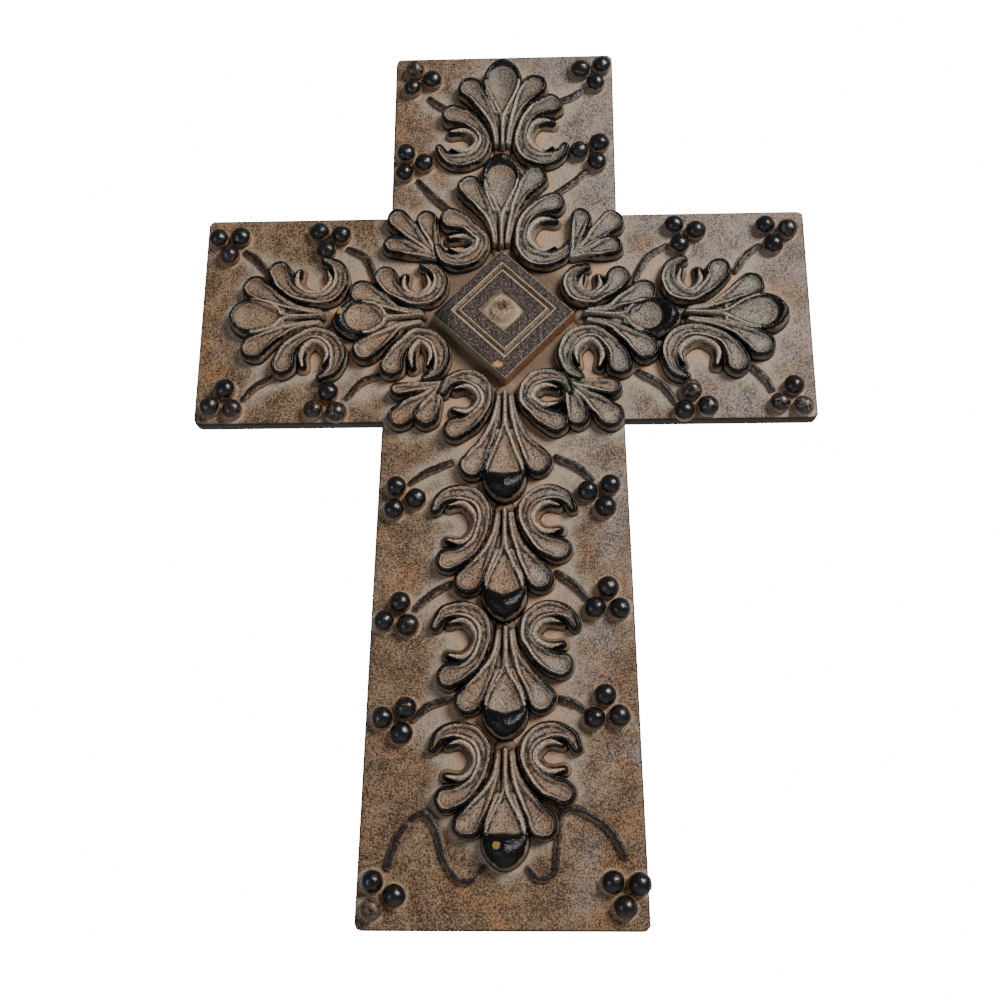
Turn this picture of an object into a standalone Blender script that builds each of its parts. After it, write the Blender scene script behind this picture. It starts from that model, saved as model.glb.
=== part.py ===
"""Wall cross: one solid casting.

A flat cross slab with a flared lower arm carries a relief: a stepped diamond at the crossing, ten
palmettes that run out along the arms, four corner sprays, twenty clusters of three berries on
stems, and two tendrils at the foot. The back is flat, with one blind slot for a hook.

The origin is the crossing's centre on the back face. X points right and Z up for someone who
faces the cross, and the relief faces -Y.
"""
import math

import bmesh
import bpy
import numpy as np

# Driving dimensions, in millimetres; MM turns them into metres where the mesh is made
MM = 0.001

# Slab
HEIGHT = 457.0
CROSSING_HEIGHT = 300.0
SPAN = 313.0
CROSSBAR_HEIGHT = 116.0
TOP_ARM_WIDTH = 118.7
LOWER_ARM_WIDTH = 121.6
FOOT_WIDTH = 132.0
SLAB_THICKNESS = 7.0
SLAB_CORNER_RADIUS = 3.5
SLAB_EDGE_ROUNDING = 1.2

# Grid on which the relief is worked out, the share of its triangles that is kept, and the angle
# over which an edge is shaded sharp
GRID_PITCH = 0.7
KEPT_SHARE = 0.0285
SHARP_ANGLE = 35.0

# Leaves: height over the slab at the root and at the end, raised rim, hollow and drafted wall
LEAF_ROOT_HEIGHT = 4.2
LEAF_END_HEIGHT = 6.8
LEAF_RIM_WIDTH = 1.4
LEAF_RIM_RISE = 0.6
LEAF_HOLLOW = 0.26
VOLUTE_RISE = 1.2
HOOK_DROP = 1.2
WALL_DRAFT = 1.5
STEM_FILL_HEIGHT = 3.0
NOSE_BULGE = 0.42
NOSE_RADIUS = 10.5
CUP_RADIUS = 7.6
LEAF_END_RADIUS = 6.3
LOBE_END_RADIUS = 5.6

# Berries and their stems
BERRY_RADIUS = 4.9
BERRY_CENTRE_HEIGHT = 2.8
BERRY_SPACING_RADIUS = 6.6
STEM_RADIUS = 1.6
STEM_HEIGHT = 2.6
STEM_SIDE_HEIGHT = 0.8

# Diamond at the crossing; halves are measured along its diagonals
DIAMOND_X = 0.3
DIAMOND_Z = -2.0
DIAMOND_HALF = 35.6
DIAMOND_HEIGHT = 8.0
DIAMOND_INNER_Z = 0.0
GROOVE_OUTER_HALF = 26.0
GROOVE_INNER_HALF = 22.5
GROOVE_DEPTH = 1.5
GROOVE_STEEPNESS = 1.6
RECESS_HALF = 12.2
RECESS_DEPTH = 1.3
LUMP_RADIUS = 7.0
LUMP_HEIGHT = 1.6

# Blind slot for a hook, in the back behind the diamond
SLOT_WIDTH = 10.0
SLOT_LENGTH = 18.0
SLOT_DEPTH = 8.0
SLOT_TOP_Z = 29.0
SLOT_SEGMENTS = 24

# A palmette's pattern, as rows of how far across, how far along and how wide (radius). In the
# rows of an end, the way along is counted from the end of that lobe, leaf or nose.
STEM_FILL = ((0, 11, 6.0), (0, 28, 6.5), (0, 42, 11.0))
VOLUTE = ((33, 12, 1.5), (29.5, 6, 3.0), (21, 3.8, 3.8), (12.5, 7.5, 3.6), (9.5, 16, 2.9))
LOBE_END = ((12.5, -9, 3.0), (19, -2.5, 4.2), (26, 0, LOBE_END_RADIUS))
HOOK = ((24, 10.3, 1.0), (17.5, 10.3, 1.8), (13.6, 15.5, 2.1))
HOOK_END = ((15.3, -12.5, 2.3), (20.3, -9.5, 2.1), (26.8, -10.5, 1.3))
LEAF = ((3, 13, 1.3), (4.6, 25, 1.6))
LEAF_END = ((9, -12, 3.1), (16.8, 0, LEAF_END_RADIUS))
SPOON = ((0, 11, 1.3), (0, 28, 1.5), (0, 36, 3.4))
SPOON_END = ((0, -17, 8.6), (0, -NOSE_RADIUS, NOSE_RADIUS))
CUP_START = (36, 1.2)
CUP_MIDDLE_SHARE = 0.6

# Each palmette: its rear edge on the arm's axis (x, z), the way it points in degrees, its length,
# the thickness of its nose, and for both sides how far it spreads, how far along its outer lobe
# ends and how far along its inner leaf ends. The first side lies clockwise of the way it points.
PALMETTES = (
    (-0.5, 85.0, 90, 66, 5.0, (1.00, 37, 49), (1.02, 32, 48)),
    (-1.0, 25.3, 90, 67, 7.5, (1.04, 37, 52), (1.00, 28, 47)),
    (-80.0, -1.0, 180, 61, 3.0, (0.97, 36, 48), (1.02, 32, 47)),
    (-28.0, -1.0, 182, 59, 6.5, (0.87, 32, 44), (1.05, 29, 42)),
    (80.0, -1.5, -1, 65, 6.0, (1.05, 38, 50), (0.92, 30, 46)),
    (29.0, -0.5, -4, 61, 9.0, (1.05, 32, 44), (0.80, 29, 42)),
    (1.0, -31.5, -90, 67, 11.5, (0.94, 32, 51), (0.99, 29, 50)),
    (1.0, -93.0, -90, 64, 10.0, (1.02, 38, 48), (1.00, 33, 47)),
    (1.5, -151.0, -90, 62, 8.5, (1.00, 36, 47), (1.00, 31, 46)),
    (1.5, -208.0, -90, 64, 12.5, (1.00, 35, 46), (1.00, 32, 46)),
)

# A spray's lobe: the share of its length and the radius of its stalk, neck and swelling, the last
# as a share of its end's radius
SPRAY_STALK = (0.0, 1.4)
SPRAY_NECK = (0.35, 2.2)
SPRAY_SWELLING = (0.7, 0.75)

# Each corner spray: the point that its lobes fan out from, and each lobe's end and end radius
SPRAYS = (
    ((-34, 32), ((-40, 53, 5.0), (-55, 54, 5.5), (-56.5, 39, 5.0))),
    ((36, 32), ((40.5, 53, 5.0), (56, 50.5, 6.0), (56, 36.5, 5.5))),
    ((-31, -39), ((-52.5, -42.5, 3.6), (-51, -56.5, 5.7), (-38, -56.5, 5.7))),
    ((32, -38), ((54.5, -42.5, 4.5), (53.5, -57, 6.2), (37, -57, 5.7))),
)

# Each berry cluster: its centre, its turn in degrees, then its stem's far end, near end and bow
CLUSTERS = (
    (-45.7, 141.3, -6, (-29, 122), (-41, 131), 0.5),
    (48.3, 143.3, 42, (31, 127), (43, 134), -1.0),
    (-49.0, 89.0, -2, (-22, 56), (-46, 80), 1.0),
    (47.0, 93.7, 52, (29, 71), (44, 84), -1.0),
    (-143.7, 42.7, 33, (-124, 28), (-136, 39), -1.0),
    (-141.7, -46.7, 82, (-117, -33), (-132, -45), -1.5),
    (-91.3, 44.3, 20, (-67, 24), (-82, 40), -3.5),
    (-89.0, -49.0, 83, (-60, -32), (-79, -45), -3.0),
    (93.3, 44.3, 12, (68, 20), (85, 39), 3.0),
    (95.3, -50.0, 101, (69, -33), (87, -50), 2.5),
    (140.7, 43.7, 18, (120, 24), (133, 38), 1.5),
    (143.7, -48.3, 81, (126, -31), (135, -44), 1.0),
    (-49.3, -98.7, -4, (-26, -80), (-46, -90.5), -1.0),
    (48.0, -97.7, 47, (27, -78), (45, -90), 1.5),
    (-50.0, -157.7, 80, (-26, -142), (-42, -154), -1.0),
    (50.0, -151.0, 87, (27, -137), (41, -149.5), 1.0),
    (-49.0, -206.7, 52, (-25, -197), (-42, -207), -2.0),
    (48.3, -202.3, 94, (27, -197), (40, -203), 1.0),
    (-54.7, -284.7, -1, None, None, 0),
    (55.3, -282.7, 26, None, None, 0),
)

# The two tendrils that rise from the foot's berries and curl in under the last nose
TENDRILS = (
    ((-52, -274), (-46.5, -259), (-39, -250), (-33, -251), (-29, -258),
     (-26, -268), (-20, -277.5), (-13, -278), (-8, -272)),
    ((57, -269.5), (49.5, -256.5), (39.5, -249), (31.5, -247), (26.5, -251),
     (25.5, -262), (24, -274), (17.5, -277.5), (11, -272)),
)


def smooth(t):
    """Ease from 0 to 1 as t goes from 0 to 1."""
    t = np.clip(t, 0.0, 1.0)
    return t * t * (3.0 - 2.0 * t)


def curve_through(points, steps=5):
    """Rows (x, z, radius) of a smooth curve through the given rows."""
    rows = np.array(points, float)
    rows = np.vstack([2 * rows[0] - rows[1], rows, 2 * rows[-1] - rows[-2]])
    curve = []
    for a, b, c, d in zip(rows, rows[1:], rows[2:], rows[3:]):
        for t in np.arange(steps) / steps:
            curve.append(0.5 * (2 * b + (c - a) * t + (2 * a - 5 * b + 4 * c - d) * t ** 2
                                + (3 * b - 3 * c + d - a) * t ** 3))
    curve.append(rows[-2])
    return np.array(curve)


def distance_to(path, x, z):
    """Signed distance to a path with a changing radius, the radius there and the share of its run."""
    distance = np.full(x.shape, np.inf)
    radius = np.zeros(x.shape)
    run = np.zeros(x.shape)
    spans = len(path) - 1
    for i, ((ax, az, ar), (bx, bz, br)) in enumerate(zip(path, path[1:])):
        length = (bx - ax) ** 2 + (bz - az) ** 2
        t = np.clip(((x - ax) * (bx - ax) + (z - az) * (bz - az)) / length, 0.0, 1.0)
        r = ar + t * (br - ar)
        s = np.hypot(x - ax - t * (bx - ax), z - az - t * (bz - az)) - r
        nearer = s < distance
        distance[nearer] = s[nearer]
        radius[nearer] = r[nearer]
        run[nearer] = (i + t[nearer]) / spans
    return distance, radius, run


def slab_corners():
    """The slab's corners, anticlockwise from the foot's right end."""
    top = HEIGHT - CROSSING_HEIGHT
    bar = CROSSBAR_HEIGHT / 2
    right = [(FOOT_WIDTH / 2, -CROSSING_HEIGHT), (LOWER_ARM_WIDTH / 2, -bar), (SPAN / 2, -bar),
             (SPAN / 2, bar), (TOP_ARM_WIDTH / 2, bar), (TOP_ARM_WIDTH / 2, top)]
    return right + [(-x, z) for x, z in reversed(right)]


def polygon_distance(corners, x, z):
    """Signed distance to a polygon, negative inside."""
    distance = np.full(x.shape, np.inf)
    inside = np.zeros(x.shape, bool)
    for (ax, az), (bx, bz) in zip(corners, corners[1:] + corners[:1]):
        length = (bx - ax) ** 2 + (bz - az) ** 2
        t = np.clip(((x - ax) * (bx - ax) + (z - az) * (bz - az)) / length, 0.0, 1.0)
        distance = np.minimum(distance, np.hypot(x - ax - t * (bx - ax), z - az - t * (bz - az)))
        if az != bz:
            inside ^= ((az > z) != (bz > z)) & (x < ax + (z - az) / (bz - az) * (bx - ax))
    return np.where(inside, -distance, distance)


def rounded_slab_distance(x, z):
    """Signed distance to the slab's outline, whose outer corners are rounded."""
    distance = polygon_distance(slab_corners(), x, z)
    bar = CROSSBAR_HEIGHT / 2
    inner_corners = ((TOP_ARM_WIDTH / 2, bar), (LOWER_ARM_WIDTH / 2, -bar))
    for cx, cz in slab_corners():
        if (abs(cx), cz) in inner_corners:
            continue
        mx = math.copysign(abs(cx) - SLAB_CORNER_RADIUS, cx)
        mz = math.copysign(abs(cz) - SLAB_CORNER_RADIUS, cz)
        beyond = ((x - mx) * math.copysign(1, cx) > 0) & ((z - mz) * math.copysign(1, cz) > 0)
        distance = np.where(beyond, np.hypot(x - mx, z - mz) - SLAB_CORNER_RADIUS, distance)
    return distance


class Relief:
    """Height over the slab, and the outline's distance, on a grid seen from the front."""

    def __init__(self, pitch):
        reach = SPAN / 2 + 2 * pitch
        self.pitch = pitch
        self.x = np.arange(-reach, reach + pitch, pitch)
        self.z = np.arange(-CROSSING_HEIGHT - 2 * pitch, HEIGHT - CROSSING_HEIGHT + 3 * pitch, pitch)
        grid = np.meshgrid(self.x, self.z)
        self.height = np.zeros(grid[0].shape)
        self.slab = rounded_slab_distance(*grid)
        self.outline = self.slab.copy()

    def window(self, path):
        """The grid's part that a path can touch, with its coordinates."""
        path = np.asarray(path)
        r = path[:, 2].max() + 2 * WALL_DRAFT
        i0, i1 = np.searchsorted(self.x, (path[:, 0].min() - r, path[:, 0].max() + r))
        j0, j1 = np.searchsorted(self.z, (path[:, 1].min() - r, path[:, 1].max() + r))
        return (slice(j0, j1), slice(i0, i1)), *np.meshgrid(self.x[i0:i1], self.z[j0:j1])

    def raise_to(self, window, height):
        self.height[window] = np.maximum(self.height[window], height)

    def widen(self, window, distance):
        """Let a raised form that overhangs the slab widen the outline."""
        self.outline[window] = np.minimum(self.outline[window], distance)


def wall(depth, top):
    """Height of a drafted wall around a form, where depth inside it is negative."""
    return top * (1.0 + depth / WALL_DRAFT)


def raise_leaf(relief, path, root_height, end_height, overhangs=False):
    """A hollow lobe with a raised rim along a path."""
    window, x, z = relief.window(path)
    distance, radius, run = distance_to(path, x, z)
    depth = -distance
    top = root_height + (end_height - root_height) * smooth(run)
    half_rim = LEAF_RIM_WIDTH / 2
    rim = LEAF_RIM_RISE * np.sqrt(np.clip(1 - ((depth - half_rim) / half_rim) ** 2, 0, 1))
    core = np.maximum(radius - LEAF_RIM_WIDTH, half_rim / 2)
    hollow = LEAF_HOLLOW * core * (1 - np.clip((radius - depth) / core, 0, 1) ** 2)
    inner = np.where(depth < LEAF_RIM_WIDTH, top + rim, top - hollow)
    relief.raise_to(window, np.where(depth < 0, wall(depth, top), inner))
    if overhangs:
        relief.widen(window, distance)


def raise_spoon(relief, outer, cup, root_height, end_height):
    """A palmette's middle leaf: a cup inside a rim that swells into a nose at its end."""
    window, x, z = relief.window(outer)
    distance, _, run = distance_to(outer, x, z)
    cup_distance, cup_radius, _ = distance_to(cup, x, z)
    depth = -distance
    top = root_height + (end_height - root_height) * smooth(run)
    width = np.maximum(depth + cup_distance, LEAF_RIM_WIDTH / 10)
    across = (cup_distance - depth) / width
    bulge = NOSE_BULGE * width * np.sqrt(np.clip(1 - across ** 2, 0, 1))
    hollow = LEAF_HOLLOW * cup_radius * (1 - np.clip(cup_distance / cup_radius + 1, 0, 1) ** 2)
    inner = np.where(cup_distance > 0, top + bulge, top - hollow)
    relief.raise_to(window, np.where(depth < 0, wall(depth, top), inner))


def ended(start, end, reach):
    """A pattern's rows, with those of its end moved to where the end is."""
    return start + tuple((u, reach + v, r) for u, v, r in end)


def raise_palmette(relief, x, z, degrees, length, nose, first_side, second_side):
    """A fan of leaves and two volutes; u runs across it and v along it."""
    along = (math.cos(math.radians(degrees)), math.sin(math.radians(degrees)))

    def placed(rows, spread=1.0):
        return curve_through([(x + along[0] * v - along[1] * u * spread,
                               z + along[1] * v + along[0] * u * spread, r) for u, v, r in rows])

    fill = placed(STEM_FILL)
    window, gx, gz = relief.window(fill)
    depth = -distance_to(fill, gx, gz)[0]
    relief.raise_to(window, np.minimum(wall(depth, STEM_FILL_HEIGHT), STEM_FILL_HEIGHT))
    for side, (spread, reach, inner) in ((-1, first_side), (1, second_side)):
        volute_and_lobe = placed(ended(VOLUTE, LOBE_END, reach), side * spread)
        raise_leaf(relief, volute_and_lobe, LEAF_ROOT_HEIGHT + VOLUTE_RISE, LEAF_END_HEIGHT)
        hook = placed(ended(HOOK, HOOK_END, reach), side * spread)
        raise_leaf(relief, hook, LEAF_ROOT_HEIGHT, LEAF_END_HEIGHT - HOOK_DROP)
        leaf = placed(ended(LEAF, LEAF_END, inner), side * spread)
        raise_leaf(relief, leaf, LEAF_ROOT_HEIGHT, LEAF_END_HEIGHT)
    cup_start, cup_start_radius = CUP_START
    cup_end = length - nose - CUP_RADIUS
    outer = placed(ended(SPOON, SPOON_END, length))
    cup = placed([(0, cup_start, cup_start_radius),
                  (0, (cup_start + cup_end) / 2, CUP_RADIUS * CUP_MIDDLE_SHARE),
                  (0, cup_end, CUP_RADIUS)])
    raise_spoon(relief, outer, cup, LEAF_ROOT_HEIGHT, LEAF_END_HEIGHT)


def raise_spray(relief, root, ends):
    """Lobes that fan out from one point over an inner corner of the slab."""
    swelling, swelling_share = SPRAY_SWELLING
    for x, z, radius in ends:
        rows = (SPRAY_STALK, SPRAY_NECK, (swelling, radius * swelling_share), (1, radius))
        path = curve_through([(root[0] + (x - root[0]) * share, root[1] + (z - root[1]) * share, r)
                              for share, r in rows])
        raise_leaf(relief, path, LEAF_ROOT_HEIGHT, LEAF_END_HEIGHT, overhangs=True)


def raise_berries(relief, x, z, turn):
    """Three berries around a point."""
    for k in range(3):
        angle = math.radians(turn + 120 * k)
        bx = x + BERRY_SPACING_RADIUS * math.cos(angle)
        bz = z + BERRY_SPACING_RADIUS * math.sin(angle)
        window, gx, gz = relief.window([(bx, bz, BERRY_RADIUS)])
        distance = np.hypot(gx - bx, gz - bz)
        cap = np.sqrt(np.clip(BERRY_RADIUS ** 2 - distance ** 2, 0, None))
        side = wall(BERRY_RADIUS - distance, BERRY_CENTRE_HEIGHT)
        relief.raise_to(window, np.where(distance > BERRY_RADIUS, side, BERRY_CENTRE_HEIGHT + cap))
        relief.widen(window, distance - BERRY_RADIUS)


def raise_stem(relief, points):
    """A round ridge through the given points."""
    path = curve_through([(x, z, STEM_RADIUS) for x, z in points])
    window, x, z = relief.window(path)
    distance, radius, _ = distance_to(path, x, z)
    across = np.clip(distance / radius + 1, 0, 1)
    ridge = STEM_SIDE_HEIGHT + (STEM_HEIGHT - STEM_SIDE_HEIGHT) * np.sqrt(1 - across ** 2)
    relief.raise_to(window, np.where(distance > 0, wall(-distance, STEM_SIDE_HEIGHT), ridge))


def bowed(start, end, bow):
    """Start, a middle point pushed to the left of the way by the bow, and end."""
    dx, dz = end[0] - start[0], end[1] - start[1]
    length = math.hypot(dx, dz)
    middle = ((start[0] + end[0]) / 2 - dz / length * bow, (start[1] + end[1]) / 2 + dx / length * bow)
    return start, middle, end


def raise_diamond(relief):
    """A square plate on its corner, with a groove all round and a recess that holds a lump."""
    window, x, z = relief.window([(DIAMOND_X, DIAMOND_Z, DIAMOND_HALF)])
    beyond = (np.abs(x - DIAMOND_X) + np.abs(z - DIAMOND_Z) - DIAMOND_HALF) / math.sqrt(2)
    inner = np.abs(x - DIAMOND_X) + np.abs(z - DIAMOND_INNER_Z)
    groove_middle = (GROOVE_OUTER_HALF + GROOVE_INNER_HALF) / 2
    groove_half = (GROOVE_OUTER_HALF - GROOVE_INNER_HALF) / 2
    plate = np.where(beyond > 0, wall(-beyond, DIAMOND_HEIGHT), DIAMOND_HEIGHT)
    into_groove = 1 - np.abs(inner - groove_middle) / groove_half
    plate = plate - GROOVE_DEPTH * smooth(GROOVE_STEEPNESS * into_groove)
    plate = plate - RECESS_DEPTH * smooth(RECESS_HALF - inner)
    lump = np.hypot(x - DIAMOND_X, z - DIAMOND_INNER_Z)
    relief.raise_to(window, plate + LUMP_HEIGHT * smooth(1 - lump / LUMP_RADIUS))


def carve_relief(pitch):
    """Work the whole relief out on a grid."""
    relief = Relief(pitch)
    for palmette in PALMETTES:
        raise_palmette(relief, *palmette)
    for root, ends in SPRAYS:
        raise_spray(relief, root, ends)
    for x, z, turn, far_end, near_end, bow in CLUSTERS:
        raise_berries(relief, x, z, turn)
        if far_end:
            raise_stem(relief, bowed(far_end, near_end, bow))
    for tendril in TENDRILS:
        raise_stem(relief, tendril)
    raise_diamond(relief)
    return relief


def front_height(relief):
    """Distance of the front surface from the back face, with the slab's front edge rounded."""
    depth = np.clip(SLAB_EDGE_ROUNDING + relief.slab, 0, SLAB_EDGE_ROUNDING)
    drop = SLAB_EDGE_ROUNDING - np.sqrt(SLAB_EDGE_ROUNDING ** 2 - depth ** 2)
    return SLAB_THICKNESS + np.maximum(relief.height, -drop)


def front_mesh(relief):
    """The front surface as an open mesh whose rim lies on the outline."""
    front = front_height(relief)
    kept = relief.outline < 0
    cell = kept[:-1, :-1] & kept[1:, :-1] & kept[1:, 1:] & kept[:-1, 1:]
    used = np.zeros(kept.shape, int)
    for dj in (0, 1):
        for di in (0, 1):
            used[dj:dj + cell.shape[0], di:di + cell.shape[1]] += cell
    slope_z, slope_x = np.gradient(relief.outline, relief.pitch)
    x, z = (g.copy() for g in np.meshgrid(relief.x, relief.z))
    rim = (used > 0) & (used < 4)
    x[rim] -= (relief.outline * slope_x)[rim]
    z[rim] -= (relief.outline * slope_z)[rim]
    number = np.full(kept.shape, -1)
    number[used > 0] = np.arange(np.count_nonzero(used))
    points = np.column_stack([x[used > 0], -front[used > 0], z[used > 0]]) * MM
    j, i = np.nonzero(cell)
    faces = np.column_stack([number[j, i], number[j, i + 1], number[j + 1, i + 1], number[j + 1, i]])
    mesh = bpy.data.meshes.new("front")
    mesh.from_pydata(points.tolist(), [], faces.tolist())
    mesh.update()
    return mesh


def thinned(mesh, share):
    """The mesh with only a share of its triangles, kept where the surface bends."""
    blank = bpy.data.objects.new("blank", mesh)
    bpy.context.scene.collection.objects.link(blank)
    modifier = blank.modifiers.new("Thin", "DECIMATE")
    modifier.ratio = share
    evaluated = blank.evaluated_get(bpy.context.evaluated_depsgraph_get())
    result = bpy.data.meshes.new_from_object(evaluated)
    bpy.data.objects.remove(blank)
    bpy.data.meshes.remove(mesh)
    return result


def close_to_back(mesh):
    """Extrude the front surface's rim to the flat back and fill the back."""
    bm = bmesh.new()
    bm.from_mesh(mesh)
    rim = [edge for edge in bm.edges if edge.is_boundary]
    extruded = bmesh.ops.extrude_edge_only(bm, edges=rim)["geom"]
    for vert in (item for item in extruded if isinstance(item, bmesh.types.BMVert)):
        vert.co.y = 0.0
    back = [edge for edge in bm.edges if edge.is_boundary]
    bmesh.ops.triangle_fill(bm, use_beauty=True, use_dissolve=False, edges=back)
    bmesh.ops.recalc_face_normals(bm, faces=bm.faces)
    bm.to_mesh(mesh)
    bm.free()


def slot_cutter(collection):
    """A bar with round ends that reaches into the back."""
    bm = bmesh.new()
    bmesh.ops.create_circle(bm, cap_ends=True, segments=SLOT_SEGMENTS, radius=SLOT_WIDTH / 2 * MM)
    straight = (SLOT_LENGTH - SLOT_WIDTH) / 2 * MM
    for vert in bm.verts:
        x, z = vert.co.x, vert.co.y
        vert.co = (x, 0.0, z + math.copysign(straight, z))
    bottom = bmesh.ops.extrude_face_region(bm, geom=bm.faces[:])["geom"]
    moved = [item for item in bottom if isinstance(item, bmesh.types.BMVert)]
    bmesh.ops.translate(bm, verts=moved, vec=(0, -2 * SLOT_DEPTH * MM, 0))
    bmesh.ops.recalc_face_normals(bm, faces=bm.faces)
    mesh = bpy.data.meshes.new("slot_cutter")
    bm.to_mesh(mesh)
    bm.free()
    cutter = bpy.data.objects.new("slot_cutter", mesh)
    cutter.location = (0, SLOT_DEPTH * MM, (SLOT_TOP_Z - SLOT_LENGTH / 2) * MM)
    cutter.display_type = "WIRE"
    cutter.hide_render = True
    collection.objects.link(cutter)
    return cutter


def painted_resin():
    """Cast resin, cold painted in an earthy tan."""
    material = bpy.data.materials.new("painted_resin")
    material.use_nodes = True
    shader = material.node_tree.nodes["Principled BSDF"]
    shader.inputs["Base Color"].default_value = (0.19, 0.13, 0.09, 1.0)
    shader.inputs["Roughness"].default_value = 0.62
    shader.inputs["Metallic"].default_value = 0.0
    return material


def new_collection(name):
    collection = bpy.data.collections.new(name)
    bpy.context.scene.collection.children.link(collection)
    return collection


def main():
    for item in list(bpy.data.objects):
        bpy.data.objects.remove(item)
    parts = new_collection("wall_cross")
    cutters = new_collection("cutters")
    mesh = thinned(front_mesh(carve_relief(GRID_PITCH)), KEPT_SHARE)
    close_to_back(mesh)
    mesh.name = "wall_cross"
    mesh.materials.append(painted_resin())
    cross = bpy.data.objects.new("wall_cross", mesh)
    parts.objects.link(cross)
    slot = cross.modifiers.new("Hook slot", "BOOLEAN")
    slot.operation = "DIFFERENCE"
    slot.solver = "EXACT"
    slot.object = slot_cutter(cutters)
    mesh.shade_smooth()
    mesh.set_sharp_from_angle(angle=math.radians(SHARP_ANGLE))


main()
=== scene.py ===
# %% [markdown]
# # A cast wall cross, carved leaf by leaf in Blender
# The real object is one casting in resin: a flat cross slab with a flared lower arm, and a relief of
# palmettes, corner sprays, berries on stems and a stepped diamond. It is painted by hand, with a
# speckled tan ground, a black gloss glaze on raised edges, and pale lines on the rims, drawn here as
# rubbed paint and a painted highlight together.
#
# The imported CAD model is loaded first. It stays the measure for every size, because the pieces made
# here stand in for its one solid and have to lie where it lies.

# %% Load the CAD frame
import math

import bmesh
import bpy
import numpy as np
from mathutils import Matrix, Vector


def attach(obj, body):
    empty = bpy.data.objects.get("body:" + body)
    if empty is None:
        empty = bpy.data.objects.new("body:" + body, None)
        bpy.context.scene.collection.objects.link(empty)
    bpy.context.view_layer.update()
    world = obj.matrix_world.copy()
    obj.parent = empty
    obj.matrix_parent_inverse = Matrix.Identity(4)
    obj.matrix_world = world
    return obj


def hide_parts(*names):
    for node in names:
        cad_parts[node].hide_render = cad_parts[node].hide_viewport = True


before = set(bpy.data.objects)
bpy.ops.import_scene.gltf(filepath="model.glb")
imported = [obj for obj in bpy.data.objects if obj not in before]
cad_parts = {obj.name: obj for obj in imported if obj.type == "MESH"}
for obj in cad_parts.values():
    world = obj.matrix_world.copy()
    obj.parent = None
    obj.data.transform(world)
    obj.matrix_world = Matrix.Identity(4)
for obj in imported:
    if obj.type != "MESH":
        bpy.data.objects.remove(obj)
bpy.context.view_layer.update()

# %% [markdown]
# ## Units and small helpers
# Blender works in metres, and a cross this size is easier to think about in millimetres, so all
# sizes below are millimetres and one factor turns them into metres where a mesh is made. X points
# right, Z up and the relief faces -Y. Heights count from the slab's front face, which lies 7 mm in
# front of the back.

# %% Helpers
MM = 0.001
SLAB = 7.0


def smooth(t):
    """Ease from 0 to 1 as t goes from 0 to 1."""
    t = np.clip(t, 0.0, 1.0)
    return t * t * (3.0 - 2.0 * t)


def linear(hex_code):
    """An sRGB hex colour as linear RGBA."""
    parts = [int(hex_code[i:i + 2], 16) / 255 for i in (1, 3, 5)]
    return [c / 12.92 if c <= 0.04045 else ((c + 0.055) / 1.055) ** 2.4 for c in parts] + [1.0]


def add(tree, kind, inputs=(), out=0, **settings):
    """Add a node with its settings, link or fill its inputs, by key or in order, and return an
    output. A kind without the word Node in it is a shader node's."""
    made = tree.nodes.new(kind if "Node" in kind else "ShaderNode" + kind)
    for name, value in settings.items():
        setattr(made, name, value)
    for key, value in inputs.items() if isinstance(inputs, dict) else enumerate(inputs):
        if isinstance(value, bpy.types.NodeSocket):
            tree.links.new(value, made.inputs[key])
        else:
            made.inputs[key].default_value = value
    return made.outputs[out]


print("a mid grey in linear light:", round(linear("#808080")[0], 3))

# %% [markdown]
# ## Camera
# The photograph looks up from the height of the cross's foot, about 0.6 m away, a little from the
# right. The camera's turn and place come from the slab's twelve corners, so the render can be laid
# over the photograph. No shift is needed.

# %% Camera
LENS, SENSOR = 46.8, 36.0
PITCH, YAW, ROLL = -0.3115027, 0.0409707, 0.0031876
OFFSET = (0.7592, 191.1072, 575.3696)
FOOT_DROP = 300.0


def turn(angle, first, second):
    """A 3 x 3 rotation by an angle in the plane of two axes."""
    m = np.identity(3)
    m[first, first] = m[second, second] = math.cos(angle)
    m[first, second], m[second, first] = -math.sin(angle), math.sin(angle)
    return m


look = turn(ROLL, 0, 1) @ turn(PITCH, 1, 2) @ turn(YAW, 2, 0)
upright = np.array([[1, 0, 0], [0, 0, 1], [0, -1, 0]], float)
place = np.identity(4)
place[:3, :3] = upright @ look.T @ np.diag([1.0, -1.0, -1.0])
place[:3, 3] = (upright @ -look.T @ np.array(OFFSET) + np.array([0, -SLAB, -FOOT_DROP])) * MM
camera_data = bpy.data.cameras.new("camera")
camera_data.lens = LENS
camera_data.sensor_width = SENSOR
camera_data.clip_start = 0.01
camera = bpy.data.objects.new("camera", camera_data)
camera.matrix_world = Matrix(place.tolist())
bpy.context.scene.collection.objects.link(camera)
bpy.context.scene.camera = camera
print("camera at (m):", place[:3, 3].round(3), "looking along", (-place[:3, 2]).round(3))

# %% [markdown]
# ## Light and floor
# The photograph has one broad soft light from the right, a little above, which shows near the middle
# of every berry, and a small cool gleam from the lower left. Area lights give the two. The room is
# pale behind the cross and dimmer on the near side, because a white room would turn the black glaze
# grey, and the picture's background is plain white. The floor lies well below, as under a wall.

# %% Light and floor
NEAR_SIDE, FAR_SIDE, BACKDROP = 0.2, 0.9, 16.0
FLOOR_DROP, FLOOR_HALF = 1.4, 1.6


def area_light(name, position, aim, size, power, colour):
    """A round area light: lengths in metres, power in watts."""
    data = bpy.data.lights.new(name, "AREA")
    data.shape = "DISK"
    data.size = size
    data.energy = power
    data.color = linear(colour)[:3]
    light = bpy.data.objects.new(name, data)
    light.location = position
    light.rotation_euler = (Vector(position) - Vector(aim)).to_track_quat("Z", "Y").to_euler()
    bpy.context.scene.collection.objects.link(light)


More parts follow.
